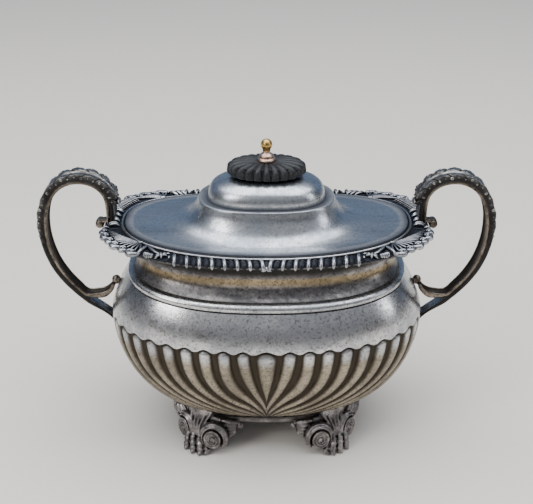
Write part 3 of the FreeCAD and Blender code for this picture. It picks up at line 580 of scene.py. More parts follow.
def neck():
    """The waisted collar: each station is its height and how much foot, waist and top are in it."""
    levels = np.array([(61.7, 41.0), (59.5, 37.2), (66.2, 38.0)])
    stations = ((0.0, 1.0, 0.0, 0.0), (0.1, 0.55, 0.45, 0.0), (0.24, 0.12, 0.88, 0.0),
                (0.4, 0.0, 1.0, 0.0), (0.66, 0.0, 0.74, 0.26), (0.87, 0.0, 0.3, 0.7), (1.0, 0.0, 0.0, 1.0))
    # scaled so that every column weighs alike in the smoothing
    scale = np.array([1, 1, 10, 1, 1e4])
    rows = []
    for share, *mix in stations:
        square = SHOULDER_SQUARE + (MOUTH_SQUARE - SHOULDER_SQUARE) * share
        bend = SHOULDER_BEND + (RIM_BEND - SHOULDER_BEND) * share
        rows.append((*(mix @ levels), square, NECK_Z + NECK_HEIGHT * share, bend))
    count = 48
    rows = smooth_run(np.array(rows) * scale, count) / scale
    azimuths = even_azimuths(240)
    outer = [ring(azimuths, *row) for row in rows]
    inner = [ring(azimuths, a - NECK_WALL, b - NECK_WALL, *rest) for a, b, *rest in rows]
    # painted shade: the neck's top under the rim nearly black, its foot and waist lightly darkened, and its
    # inside a little
    dark = np.interp(np.linspace(0, 1, count), [0, 0.05, 0.2, 0.4, 0.55, 0.68, 1],
                     [0.3, 0.2, 0.3, 0.1, 0.1, 0.8, 0.95])
    shade = np.concatenate([dark, np.full(count, 0.2)])
    clay = Clay()
    clay.grid(np.stack(outer + inner[::-1]), close_rows=True, dirt=shade[:, None])
    return clay


def rim(azimuth, share, lift=0.0):
    """A point of the rim's top face: share 0 at the mouth and 1 at the outer edge."""
    near = ring(azimuth, MOUTH_L, MOUTH_W, MOUTH_SQUARE, SEAT_Z, RIM_BEND)
    far = ring(azimuth, RIM_L, RIM_W, RIM_SQUARE, SEAT_Z - RIM_FALL, RIM_BEND)
    point = near + (far - near) * np.asarray(share, float)[..., None]
    point[..., 2] += lift
    return point


def rim_share(azimuth, offset):
    """Share across the rim of a line that keeps an offset from the mouth."""
    near, far, line = (
        np.hypot(*ring(azimuth, length, width, square, 0)[..., :2].T)
        for length, width, square in ((MOUTH_L, MOUTH_W, MOUTH_SQUARE), (RIM_L, RIM_W, RIM_SQUARE),
                                      (MOUTH_L + offset, MOUTH_W + offset, MOUTH_SQUARE)))
    return (line - near) / (far - near)


def rim_plate():
    azimuths = even_azimuths(280, RIM_L, RIM_W, RIM_SQUARE)
    thick, edge_thick, ledge = 2.2, 1.4, 2.6
    under = ring(azimuths, MOUTH_L + ledge, MOUTH_W + ledge, MOUTH_SQUARE, SEAT_Z - thick, RIM_BEND)
    inside = ring(azimuths, MOUTH_L, MOUTH_W, MOUTH_SQUARE, SEAT_Z - thick, RIM_BEND)
    rows = [inside, under, under * 0.45 + rim(azimuths, 1.0, -edge_thick) * 0.55]
    # share across the rim and lift, from the outer edge's underside back to the mouth
    outline = ((0.97, -edge_thick), (1.0, -1.1), (1.0, -0.3), (0.97, 0), (0.6, 0), (0.3, 0), (0.04, 0),
               (0.0, -0.3))
    rows += [rim(azimuths, share, lift) for share, lift in outline]
    # painted shade over the rim plate: darkest at the mouth beside the lid, half dark underneath, lightest
    # at the outer edge
    dark = np.array([0.9, 0.5, 0.5, 0.5, 0.3, 0.3, 0.6, 0.8, 0.8, 0.9, 0.95])
    clay = Clay()
    clay.grid(np.stack(rows), close_rows=True, dirt=dark[:, None])
    return clay


def wire():
    """The round wire soldered on the rim, just outside the lid."""
    azimuths = even_azimuths(280)
    share = rim_share(azimuths, WIRE_OFFSET)
    centre = rim(azimuths, share, 0.5)
    out = centre - rim(azimuths, share - 0.05, 0.5)
    out = unit(out * np.array([1, 1, 0])) * WIRE_RADIUS
    up = np.array([0, 0, WIRE_RADIUS])
    turns = np.linspace(0, 2 * math.pi, 14, endpoint=False)
    # painted shade on the underside of the wire
    dark = smooth_step(0.35 - np.sin(turns) * 0.8)
    clay = Clay()
    clay.grid(np.stack([centre + out * math.cos(t) + up * math.sin(t) for t in turns]), close_rows=True,
              dirt=dark[:, None])
    return clay


piece("shoulder_band", moulding(), body_silver, "shoulder_moulding", sharp=60)
piece("waisted_neck", neck(), shaded_neck_silver, "neck_collar", sharp=50)
piece("rim_plate", rim_plate(), shaded_neck_silver, "rim_flange", sharp=45)
piece("rim_wire", wire(), cast_silver, "seat_wire")


# ---------------------------------------------------------------- cast border on the rim
def azimuth_at(x, share=1.0):
    """Azimuth on the front half of the rim, for places along X and shares across the rim."""
    fine = np.linspace(-math.pi, 0, 1441)
    x, share = np.broadcast_arrays(x, share)
    found = [np.interp(a, rim(fine, b)[:, 0], fine) for a, b in zip(x.ravel(), share.ravel())]
    return np.array(found).reshape(x.shape)


def bed(clay, start, stop, height, dirt, past=1.0):
    """The low hollow strip that the cast bars stand on, between two azimuths in degrees."""
    start, stop = math.radians(start), math.radians(stop)
    azimuths = np.linspace(start, stop, max(12, int(abs(stop - start) * 40)))
    first = rim_share(azimuths, 4.3)
    outline = ((first, 0.03), (first, 0.55 * height), (0.5 * (first + 1), height), (past, 0.75 * height),
               (past + 0.03, 0.2), (past, -0.4), (0.97, 0.03))
    # the callers paint this strip nearly black: painted shade under and between the bars
    clay.tube(np.stack([rim(azimuths, share, lift) for share, lift in outline], 1), dirt)


def gadroon(clay, azimuth, wide, shares, lifts, high=0.75, dirt=0.0):
    """One convex bar across the rim that turns down over its edge."""
    shares = np.array(shares)
    azimuths = np.broadcast_to(azimuth, shares.shape)
    path = rim(azimuths, shares, np.array(lifts))
    out = rim(azimuths[-1:], np.array([1.0]))[0] * np.array([1, 1, 0])
    normal = unit(unit(out) * 0.75 + np.array([0, 0, 0.65]))
    clay.bar(path, wide, high, up=normal, count=18, plump=0.4, lean=1.25, dirt=dirt)


def front_border():
    """Bars with a dark egg between each two, all leaning in towards the middle."""
    clay = Clay()
    bed(clay, -137, -43, 0.5, dirt=0.97)
    bars, first, pitch = 8, 2.35, 5.4
    bar_shares = np.array([0.46, 0.62, 0.82, 1.0, 1.1, 1.09])
    egg_shares = np.array([0.52, 0.66, 0.84, 0.99, 1.05, 1.05])
    for side in (-1, 1):
        for k in range(bars):
            slope = 2.4 * (1 - k / 9) * (0.7 - bar_shares)
            azimuths = azimuth_at(side * (first + pitch * k + slope), bar_shares)
            gadroon(clay, azimuths, 0.92, bar_shares, (0.5, 1.3, 1.6, 1.2, 0.0, -1.35), high=0.85)
            if k < bars - 1:
                # the eggs between the bars are painted dark, as shade
                azimuths = azimuth_at(side * (first + pitch * (k + 0.5) + slope), egg_shares)
                gadroon(clay, azimuths, 1.5, egg_shares, (0.3, 0.7, 0.85, 0.6, -0.1, -1.0), high=0.7,
                        dirt=0.86)
        curl = [(side * 2.3, 1.08, -1.2), (side * 1.2, 1.1, -1.0), (side * 0.1, 1.06, -0.2),
                (side * 0.5, 1.0, 0.6)]
        clay.bar([rim(azimuth_at(x, share), share, lift) for x, share, lift in curl], 0.6, 0.6, count=14)
    # the middle egg is painted dark too, as shade
    gadroon(clay, azimuth_at(0.0, egg_shares), 1.2, egg_shares, (0.3, 0.6, 0.7, 0.4, -0.3, -0.8),
            high=0.5, dirt=0.85)
    return clay


def on_rim(rows):
    """Points on the rim from rows of (azimuth in degrees, share across, lift)."""
    azimuth, share, lift = np.array(rows, float).T
    return rim(np.radians(azimuth), share, lift)


def scroll_lobe(clay, azimuth, share, size):
    """One curled lobe on the rim's edge, shaped like a 6 with a pearl in it."""
    span = 1.7 * size
    # steps along the edge in spans, steps across the rim, and lifts
    steps = ((-1.0, -0.2, 0.5), (-0.8, -0.02, 0.9), (0.0, 0.05, 0.7), (0.8, -0.05, 0.9), (0.5, -0.17, 1.2),
             (-0.1, -0.15, 1.2))
    curl = on_rim([(azimuth + along * span, share + across, lift) for along, across, lift in steps])
    wide, high = np.array([0.5, 0.9, 1.1, 0.95, 0.7, 0.45]), np.array([0.6, 1.0, 1.2, 1.0, 0.8, 0.5])
    clay.cord(curl, wide * size, high * size, count=22)
    pearl = on_rim([(azimuth + 0.05 * span, share - 0.07, 1.1)])[0]
    clay.blob(pearl, np.array([0.85, 0.75, 0.8]) * size)


def shell(clay, start, stop, focus, ribs, lobes, edge):
    """A fan of fine ribs on a dark ground, with a row of scrolled lobes on the rim's edge."""
    for azimuth in np.linspace(start, stop, ribs):
        path = on_rim([(focus, 0.3, 0.6), (0.6 * focus + 0.4 * azimuth, 0.52, 1.0),
                       (0.2 * focus + 0.8 * azimuth, 0.78, 1.05), (azimuth, edge - 0.17, 0.8)])
        clay.bar(path, 0.46, 0.7, count=16, plump=0.5, lean=1.4, sides=8)
    clay.blob(on_rim([(focus, 0.33, 0.9)])[0], (1.5, 0.9, 0.7))
    inset = (stop - start) * 0.07
    for k, azimuth in enumerate(np.linspace(start + inset, stop - inset, lobes)):
        scroll_lobe(clay, azimuth, edge + 0.01 * (-1) ** k, 1.05 + 0.12 * (-1) ** k)


def corner_border():
    """The front right corner: a scrolled shell, a lotus in a dark field and a knot by the bars."""
    clay = Clay()
    bed(clay, -42.5, -31.5, 0.35, dirt=0.97)
    bed(clay, -31.5, -8.6, 0.45, dirt=0.9, past=1.07)
    shell(clay, -31.5, -9.5, -24.3, 13, 6, 1.13)
    # two bands that part at the mouth and frame the lotus
    clay.cord(on_rim([(-28.6, 0.4, 0.9), (-29.9, 0.62, 1.3), (-31.0, 0.84, 1.4), (-31.9, 1.03, 0.9)]),
              (0.5, 0.8, 0.9, 0.5), (0.6, 0.8, 0.8, 0.6), count=18)
    clay.cord(on_rim([(-29.4, 0.42, 0.9), (-32.2, 0.55, 1.2), (-35.2, 0.68, 1.2), (-37.6, 0.75, 1.1)]),
              (0.5, 0.7, 0.7, 0.6), (0.6, 0.7, 0.7, 0.6), count=18)
    for lean in (-1.6, -0.8, 0.0, 0.8, 1.6):
        petal = on_rim([(-35.2 + 0.3 * lean, 0.84, 0.6), (-35.3 + 0.85 * lean, 0.95, 1.2),
                        (-35.3 + 0.75 * lean, 1.06 - 0.03 * abs(lean), 0.2)])
        clay.bar(petal, 0.55, 0.85, count=14, plump=0.45)
    clay.blob(on_rim([(-35.2, 0.84, 0.8)])[0], (1.1, 0.6, 0.6))
    # knot: a boss with leaves to all sides
    azimuth, share = -38.7, 0.8
    clay.blob(on_rim([(azimuth, share, 1.2)])[0], (0.95, 0.85, 0.8))
    for turn in np.radians((20, 80, 140, 200, 262, 325)):
        along, across = 1.9 * math.cos(turn), 0.24 * math.sin(turn)
        clay.bar(on_rim([(azimuth + along * step, share + across * step, lift)
                         for step, lift in ((0, 0.9), (0.5, 1.4), (1, 0.6))]), 0.55, 0.6, count=12)
    clay.blob(on_rim([(-38.5, 0.52, 0.6)])[0], (1.3, 0.6, 0.5))
    clay.blob(on_rim([(-41.3, 0.75, 0.7)])[0], (0.6, 1.2, 0.6))
    return clay


def back_corner_border():
    """The back right corner: a run of fine bars by the handle, then a low scrolled shell."""
    clay = Clay()
    bed(clay, 9.2, 20.5, 0.45, dirt=0.95)
    for azimuth in np.radians(np.linspace(9.2, 20.5, 10)):
        gadroon(clay, azimuth, 0.36, (0.48, 0.66, 0.85, 1.02, 1.08, 1.06), (0.4, 1.3, 1.5, 1.0, 0.1, -0.8))
    bed(clay, 20.5, 42.5, 0.45, dirt=0.9, past=1.05)
    shell(clay, 21.5, 36.5, 29.5, 9, 5, 1.1)
    for azimuth in (38.0, 40.0, 41.8):
        path = [(azimuth, 0.5, 0.4), (azimuth, 0.7, 1.3), (azimuth, 0.9, 1.3), (azimuth, 1.06, 0.3)]
        clay.bar(on_rim(path), 0.95, 0.8)
    return clay


def end_border():
    """Short leaves between the lid and the root of the handle."""
    clay = Clay()
    bed(clay, -8.6, 8.6, 0.45, dirt=0.9)
    for azimuth in (-6.6, -2.3, 2.3, 6.6):
        path = on_rim([(azimuth, 0.4, 0.5), (azimuth, 0.52, 1.7), (azimuth, 0.7, 1.9),
                       (azimuth, 0.86, 1.0)])
        clay.bar(path, 1.25, 0.9, count=16)
        clay.bar(path + np.array([0.2, 0, 0.55]), 0.4, 0.7)
    for azimuth in np.radians((-7.9, 7.9)):
        gadroon(clay, azimuth, 0.7, (0.8, 0.9, 0.97, 1.02, 1.06, 1.04), (0.4, 1.2, 1.4, 1.1, 0.1, -0.8))
    return clay


cast = {"front": front_border().mesh("front"), "corner": corner_border().mesh("corner"),
        "back": back_corner_border().mesh("back"), "end": end_border().mesh("end")}
piece("bars_front", cast["front"], cast_silver, "gadroon_front")
piece("bars_back", cast["front"], cast_silver, "gadroon_back", flip=(1, -1))
piece("bars_right", cast["end"], cast_silver, "gadroon_right")
piece("bars_left", cast["end"], cast_silver, "gadroon_left", flip=(-1, 1))
for end, x in (("right", 1), ("left", -1)):
    for row, mesh in (("front_", cast["corner"]), ("back_", cast["back"])):
        piece("border_" + row + end, mesh, cast_silver, "shell_" + row + end, flip=(x, 1))


# ---------------------------------------------------------------- lid
def lid_runs():
    """The lid's outside in four runs of (half length, half width, squareness, z, bend)."""
    plate_l, plate_w = LID_L - LID_MARGIN, LID_W - LID_MARGIN

    def flank(share_l, share_w, up, square):
        length = plate_l + (RIDGE_L - plate_l) * share_l
        width = plate_w + (RIDGE_W - plate_w) * share_w
        return length, width, square, LID_Z + (RIDGE_Z - LID_Z) * up, RIM_BEND * (1 - up) ** 2

    edge = [(LID_L, LID_W, MOUTH_SQUARE, LID_Z, RIM_BEND), flank(0, 0, 0, MOUTH_SQUARE)]
    plate = [flank(*row) for row in (
        (0, 0, 0, 2.36), (0.2, 0.16, 0.02, 2.34), (0.42, 0.32, 0.06, 2.32), (0.64, 0.5, 0.15, 2.32),
        (0.82, 0.72, 0.37, 2.36), (0.95, 0.92, 0.74, 2.42), (1, 1, 1, 2.46))]
    # the raised bead of the ridge and the step inside it: two insets, squareness and rise
    bead = ((0, 0, 2.46, 0), (0.2, 0.15, 2.46, 0.32), (0.7, 0.6, 2.47, 0.5), (1.3, 1.1, 2.48, 0.4),
            (2.0, 1.6, DOME_SQUARE, 0.05), (2.7, 2.0, DOME_SQUARE, -0.1), (3.7, 2.9, DOME_SQUARE, -0.1),
            (4.3, 3.4, DOME_SQUARE, 0.1))
    ridge = [(RIDGE_L - in_l, RIDGE_W - in_w, square, RIDGE_Z + up, 0) for in_l, in_w, square, up in bead]
    # share of the half sizes, share of the height, and squareness
    crown = ((0.99, 0.28, DOME_SQUARE), (0.93, 0.58, 2.48), (0.79, 0.81, 2.4), (0.55, 0.95, 2.3))
    dome = ridge[-1:] + [(DOME_L * size, DOME_W * size, square, RIDGE_Z + (DOME_Z - RIDGE_Z) * up, 0)
                         for size, up, square in crown]
    return edge, plate, ridge, dome + [(5.0, 5.0, 2.0, DOME_Z, 0)]


def lid():
    azimuths = even_azimuths(260, 50, 30, 2.4)
    # scaled so that every column weighs alike in the smoothing
    scale = np.array([1, 1, 10, 1, 1e4])
    rows, dark = [], []
    # rows in each run, and painted shade at some of them: in the gap by the wire and under the bead and dome
    shades = ((3, (0, 2), (0.9, 0.0)), (40, (0, 39), (0, 0)), (12, (0, 11), (0.1, 0.9)),
              (34, (0, 3, 34), (0.7, 0.05, 0)))
    for run, (count, at, shade) in zip(lid_runs(), shades):
        first = 1 if rows else 0
        rows += list((smooth_run(np.array(run) * scale, count) / scale)[first:])
        dark += list(np.interp(np.arange(count), at, shade)[first:])
    outside = [ring(azimuths, *row) for row in rows]
    inside = []
    for length, width, square, z, bend in rows:
        thin = np.interp(z, [105.5, 112], [0, 0.6])
        length, width = max(length - thin, SHANK_HOLE), max(width - thin, SHANK_HOLE)
        inside.append(ring(azimuths, length, width, square, z - LID_WALL, bend))
    hole = [ring(azimuths, SHANK_HOLE, SHANK_HOLE, 2, z) for z in (DOME_Z, DOME_Z - LID_WALL)]
    # painted shade: the inside of the lid darkened a little
    shades = np.array(dark + [0, 0] + [0.3] * len(inside))
    clay = Clay()
    clay.grid(np.stack(outside + hole + inside[::-1]), close_rows=True, dirt=shades[:, None])
    return clay


piece("domed_lid", lid(), lid_silver, "lid_cover", sharp=34, body="lid")


# ---------------------------------------------------------------- knob and finial
def fluted_knob():
    """Ebonised cushion knob with rounded radial flutes that end in a scalloped edge."""
    flutes = 22
    count = flutes * 16
    azimuths = even_azimuths(count, KNOB_L, KNOB_W, KNOB_SQUARE)
    # share of the half sizes and share of the height
    profile = [(0.5, 0.02), (0.8, 0.0), (0.93, 0.1), (0.995, 0.3), (1.0, 0.48), (0.97, 0.72), (0.88, 0.9),
               (0.74, 1.01), (0.56, 1.06), (0.42, 1.03), (0.33, 1.0), (0.12, 1.0)]
    profile = smooth_run(np.array(profile) * 10, 46) / 10
    ridge = np.abs(np.sin(math.pi * np.arange(count) / count * flutes)) ** 0.7
    rows = []
    for share, up in profile:
        strength = np.interp(share, [0.24, 0.36, 0.7, 1.0], [0.0, 0.45, 1.0, 1.15])
        sink = (1 - ridge) * 1.4 * strength * (1.0 if up > 0.2 else 0.55)
        z = DOME_Z + (KNOB_Z - DOME_Z) * up
        point = ring(azimuths, KNOB_L * share, KNOB_W * share, KNOB_SQUARE, z)
        point -= unit(point * np.array([1, 1, 0])) * (sink * (1.0 if up < 0.9 else 0.4))[:, None]
        point[:, 2] -= sink * (0.8 if up > 0.6 else 0.1)
        rows.append(point)
    clay = Clay()
    clay.tube(np.stack(rows))
    return clay


def finial():
    """The shank, the flanged skirt, the neck and the ball, turned on one axis."""
    # radius, and height above the knob
    turned = ((0.3, -13.4), (1.5, -13.3), (1.5, -0.1), (3.2, -0.02), (4.1, 0.05), (4.22, 0.4), (4.15, 0.9),
              (3.75, 1.35), (3.3, 1.55), (3.15, 1.7), (3.35, 1.95), (3.45, 2.35), (3.3, 2.8), (2.75, 3.25),
              (2.1, 3.6), (1.75, 4.0), (1.72, 4.6), (1.8, 5.3), (1.95, 5.6))
    profile = [(radius, KNOB_Z + up) for radius, up in turned]
    for angle in np.radians(np.linspace(-42, 88, 16)):
        profile.append((BALL_RADIUS * math.cos(angle), FINIAL_TOP + BALL_RADIUS * (math.sin(angle) - 1)))
    turns = np.linspace(0, 2 * math.pi, 40, endpoint=False)
    clay = Clay()
    clay.tube(np.array([[(r * math.cos(t), r * math.sin(t), z) for t in turns] for r, z in profile]))
    return clay


piece("fluted_knob", fluted_knob(), ebony, "knob", body="lid")
piece("brass_finial", finial(), finial_brass, "finial_screw", sharp=50, body="lid")


# ---------------------------------------------------------------- handles
# where the strap and the ribbon meet, in the XZ plane, from the rim over the top to the fork
JOINT_LINE = np.array([
    (-2.2, -1.5), (-2.3, 4.0), (-2.1, 9.0), (-1.2, 13.4), (1.4, 17.2), (5.6, 19.9), (11.3, 21.0),
    (17.4, 19.9), (22.6, 16.4), (26.2, 11.0), (28.3, 4.6), (29.0, -2.4), (28.6, -9.4), (27.0, -16.4),
    (24.2, -23.4), (20.2, -29.8), (15.6, -35.2), (12.4, -38.3), (9.6, -40.8)]) + (RIM_L, SEAT_Z + RIM_LIFT)
FORK = JOINT_LINE[-1]


def beside(line, distance):
    """A line in the XZ plane, moved to its left."""
    along = unit(np.gradient(line, axis=0))
    return line + np.stack([-along[:, 1], along[:, 0]], -1) * np.reshape(distance, (-1, 1))


def body_end(z):
    """How far out the bowl's end is at a height."""
    level = z
    for _ in range(20):
        length, _, _, bend = body_level(level)
        level = min(max(z - bend * length * length, BASE_Z), SHOULDER_Z)
    return float(length)


def handle_half(z):
    """Half width of the handle at a height: it narrows towards the strut."""
    return np.interp(z, [SEAT_Z - 34, SEAT_Z - 8], [3.5, 4.8])


def symmetric(half):
    """Half a section, from one side to the middle, and the same mirrored."""
    return half + [(share, -across) for share, across in half[-2::-1]]


def band(outer, inner, section, dirt):
    """A strap between two lines: section gives (share from inner to outer, share of half width)."""
    half = handle_half(outer[:, 1])
    flat = inner[:, None] + (outer - inner)[:, None] * section[None, :, :1]
    across = half[:, None] * section[None, :, 1]
    clay = Clay()
    clay.tube(np.stack([flat[..., 0], across, flat[..., 1]], -1), dirt=dirt)
    return clay


def strap():
    """The outer strap, which runs on from the fork as a strut to the bowl."""
    strut_z = FORK[1] - 11.0
    reach = body_end(strut_z) - 3.0
    outer = beside(JOINT_LINE, STRAP_THICK)
    lower = np.array([(0.42 * outer[-1][0] + 0.58 * reach, outer[-1][1] - 6.0), (reach, strut_z - 5.2)])
    upper = np.array([(0.5 * (FORK[0] + reach) + 0.2, FORK[1] - 5.4), (reach, strut_z)])
    outside = smooth_run(np.concatenate([outer, lower]), np.linspace(0, 20, 120))
    inside = smooth_run(np.concatenate([JOINT_LINE, upper]), np.linspace(0, 20, 120))
    section = symmetric([(0.0, -0.9), (0.25, -0.985), (0.55, -1.0), (0.82, -0.93), (0.97, -0.76),
                         (0.9, -0.6), (0.86, -0.35), (0.9, 0.0)]) + [(0.0, 0.45), (0.0, 0.0), (0.0, -0.45)]
    section = smooth_run(section + section[:1], 55)[:-1]
    share, across = section[:, 0], np.abs(section[:, 1])
    # painted shade on the strap's two sides, and half dark along the middle of its outer face
    side = smooth_step((across - 0.86) / 0.08) * smooth_step((0.86 - np.abs(share)) / 0.12)
    dark = np.maximum(0.82 * side, np.where((share > 0.8) & (across < 0.5), 0.5, 0))
    return band(outside, inside, section, dark)


def ribbon():
    """The inner ribbon: a channel between two rolled edges, which ends in a ball on the bowl."""
    inner = beside(JOINT_LINE, -RIBBON_THICK)
    ball_z = FORK[1] + 9.8
    ball = np.array([body_end(ball_z) + 1.95, ball_z])
    inner_tail = ball + np.array([(9.0, -5.9), (5.5, -5.0), (3.0, -3.1), (1.7, -1.0)])
    outer_tail = ball + np.array([(5.9, -8.2), (2.7, -5.9), (0.8, -3.2), (0.3, -1.0)])
    inside = smooth_run(np.concatenate([inner[:-1], inner_tail]), np.linspace(0, 21, 130))
    outside = smooth_run(np.concatenate([JOINT_LINE[:-1], outer_tail]), np.linspace(0, 21, 130))
    section = symmetric([(1.0, -0.86), (0.75, -0.97), (0.35, -1.0), (0.06, -0.95), (0.0, -0.86),
                         (0.1, -0.77), (0.38, -0.66), (0.58, -0.4), (0.66, 0.0)]) + [(1.0, 0.4), (1.0, -0.4)]
    section = smooth_run(section + section[:1], 58)[:-1]
    # painted shade in the channel between the rolled edges
    dark = np.where((np.abs(section[:, 1]) < 0.74) & (section[:, 0] > 0.05), 0.75, 0.0)
    clay = band(outside, inside, section, dark)
    clay.blob((ball[0], 0, ball[1]), (2.15, 2.3, 2.15), rings=22, sides=30)
    turn = np.linspace(0, 2 * math.pi, 25)
    for y in (-1.8, 1.8):
        hoop = [ball[0] + 1.35 * np.cos(turn), np.full(25, y), ball[1] + 1.35 * np.sin(turn)]
        clay.cord(np.stack(hoop, -1), 0.28, 0.28, up=(0, 1, 0), sides=6)
    return clay


def leaf():
    """Acanthus leaf wrapped over the top of the handle, with ribs and curled edges."""
    rows, cols = 300, 76
    outer = beside(JOINT_LINE, STRAP_THICK)[2:13]
    line = smooth_run(outer, rows)
    out = beside(line, 1.0) - line
    half = handle_half(line[:, 1])[:, None]
    t = np.linspace(0, 1, rows)[:, None]
    v = np.linspace(-1, 1, cols)[None, :]
    side = np.abs(v)
    # wrap: the middle 70% lies on top, the rest folds down the two sides
    top = np.clip(side / 0.7, 0, 1)
    fold = np.clip((side - 0.7) / 0.3, 0, 1)
    across = np.sign(v) * half * (top * 0.97 + 0.07 * np.sin(fold * math.pi / 2))
    drop = -2.3 * fold ** 1.3 - 0.35 * top ** 3
    leaflets = 10
    wave = t * leaflets - 0.55 * side
    lobe = np.abs(np.sin(math.pi * wave))
    envelope = np.interp(t, [0, 0.04, 0.12, 0.85, 1], [1.5, 1.9, 1.0, 0.85, 0.05])
    relief = 0.55 * lobe ** 0.6 * (0.25 + 0.75 * smooth_step((side - 0.12) / 0.3))
    relief = relief + 0.22 * np.abs(np.sin(3 * math.pi * wave)) * smooth_step((side - 0.2) / 0.3)
    spine = 0.45 * np.exp(-(side / 0.07) ** 2) - 0.25 * np.exp(-((side - 0.15) / 0.06) ** 2)
    curl = 0.55 * np.exp(-((side - 0.74) / 0.1) ** 2) * lobe
    taper = np.interp(t, [0, 0.02, 0.97, 1], [0.6, 1, 0.7, 0.1])
    height = (0.35 + relief + spine + curl) * envelope * taper
    bulge = across * (1 + 0.09 * lobe * smooth_step((side - 0.6) / 0.3))

    def skin(rise, wide):
        return np.stack([line[:, :1] + out[:, :1] * rise, wide, line[:, 1:] + out[:, 1:] * rise], -1)

    sections = np.concatenate([skin(height + drop, bulge), skin(drop - 0.35, across * 0.93)[:, ::-1]], 1)
    # painted shade: dark in the hollows between the leaflets, on the folded sides, in the groove beside the
    # spine and on the underside
    hollows = 0.9 * (1 - smooth_step(lobe / 0.55)) * smooth_step((side - 0.1) / 0.2)
    hollows = np.maximum(hollows, 0.85 * fold ** 0.5 * np.ones_like(t))
    hollows = np.maximum(hollows, 0.7 * np.exp(-((side - 0.15) / 0.05) ** 2) * np.ones_like(t))
    shade = np.concatenate([hollows, np.full((rows, cols), 0.6)], 1)
    clay = Clay()
    clay.tube(sections, dirt=shade)
    # beads along both edges and a rolled tip
    for k in range(21):
        row = int(8 + k * (rows - 24) / 20)
        for way in (-1, 1):
            size = 0.75 + 0.3 * math.sin(k * 2.1 + way)
            sink = -0.5 - 0.5 * (k % 2)
            x, z = line[row] + out[row] * sink
            clay.blob((x, way * half[row, 0] * 1.02, z), (size, 0.55, size * 0.8), rings=7, sides=9)
    roll = line[0] + out[0] * 1.6
    path = [(roll[0], y, roll[1]) for y in np.linspace(-3.2, 3.2, 9)]
    clay.bar(path, 1.25, 1.25, count=16, plump=0.35, sides=14)
    return clay


def rim_curl():
    """Small rolled scroll under the handle's root, with a turned button at each end."""
    end_z = SEAT_Z - RIM_FALL + RIM_BEND * RIM_L ** 2
    centre = np.array([RIM_L + 3.0, 0, end_z - 0.55])
    clay = Clay()
    y = np.array([-3.5, -3.45, -3.1, -2.6, -2.2, -1.6, 0, 1.6, 2.2, 2.6, 3.1, 3.45, 3.5])
    radius = np.array([0.2, 1.1, 1.7, 1.95, 1.75, 2.05, 2.1, 2.05, 1.75, 1.95, 1.7, 1.1, 0.2])
    clay.cord(centre + y[:, None] * np.array([0, 1, 0]), radius, radius, sides=28)
    for side in (-1, 1):
        clay.blob(centre + np.array([0, side * 3.3, 0]), (0.8, 0.45, 0.8), rings=8, sides=14)
    web = np.array([(-6.8, 0, 1.2), (-3, 0, 1.35), (-0.2, 0, 0.9)])
    clay.cord(centre + web, 2.9, (0.9, 0.9, 1.1), count=8, sides=16)
    return clay


# piece and CAD names after the end's own, with the mesh, its silver and where it creases
handle = (("band", "strap", strap().mesh("strap"), shaded_handle_silver, 50),
          ("ribbon", "scroll", ribbon().mesh("ribbon"), shaded_ribbon_silver, 50),
          ("acanthus", "leaf", leaf().mesh("leaf"), shaded_handle_silver, 60),
          ("root_curl", "rim_curl", rim_curl().mesh("curl"), shaded_ribbon_silver, 50))
for end, x in (("right", 1), ("left", -1)):
    for name, node, mesh, material, sharp in handle:
        piece(end + "_handle_" + name, mesh, material, end + "_handle_" + node,
              sharp=sharp, flip=(x, 1))


# ---------------------------------------------------------------- feet
def volute(clay, centre, axis, wide, high, depth, hand, arcs):
    """A scroll end: a drum with a rolled rim, a raised spiral on its face and bands that wrap round it."""
    centre, axis = np.array(centre), unit(np.array(axis))
    side = unit(np.cross(axis, np.array([0, 0, 1.0])))
    top = np.cross(side, axis)

    def around(turn, size, back=0.0):
        size = np.broadcast_to(size, turn.shape)[:, None]
        along = side * np.cos(turn)[:, None] * wide + top * np.sin(turn)[:, None] * high
        return centre + axis * (depth - back) + along * size

    t = np.array([0.0, 0.03, 0.3, 0.6, 0.86, 0.97, 1.0])
    swell = np.array([0.9, 0.97, 0.93, 0.93, 1.0, 0.97, 0.86])
    clay.cord(centre + axis * (t * depth)[:, None], wide * swell, high * swell, up=top, sides=36)
    clay.cord(around(np.linspace(0, 2 * math.pi, 37), 0.87), 0.5, 0.5, up=axis, sides=8)
    turns = 2.1
    turn = np.linspace(0, 2 * math.pi * turns, 60)
    spiral = around(turn * hand, np.linspace(0.66, 0.1, 60))
    clay.cord(spiral, (0.42, 0.34), (0.6, 0.65), up=axis, sides=8)
    clay.blob(centre + axis * (depth + 0.1), (0.8, 0.8, 0.8))
    for start, stop, size, back, thick in arcs:
        turn = np.radians(np.linspace(start, stop, 30))
        grow = np.linspace(0, 0.12, 30)
        widths = np.array([0.6, 1, 1, 0.8]) * thick
        clay.cord(around(turn, size + grow, back), widths, (1.3, 1.6, 1.6, 1.1), up=axis)
    clay.cord(centre + axis * np.array([[0.1], [0.6]]) * depth, wide * 1.2, high * 1.2, up=top, sides=30)


def frond(clay, points, wide, high):
    """One finger of a leaf."""
    widths, heights = np.array([0.55, 0.95, 1.0, 0.8, 0.3]), np.array([0.7, 1.0, 1.0, 0.8, 0.4])
    clay.cord(points, widths * wide, heights * high, up=(0, 1, 0), count=16)


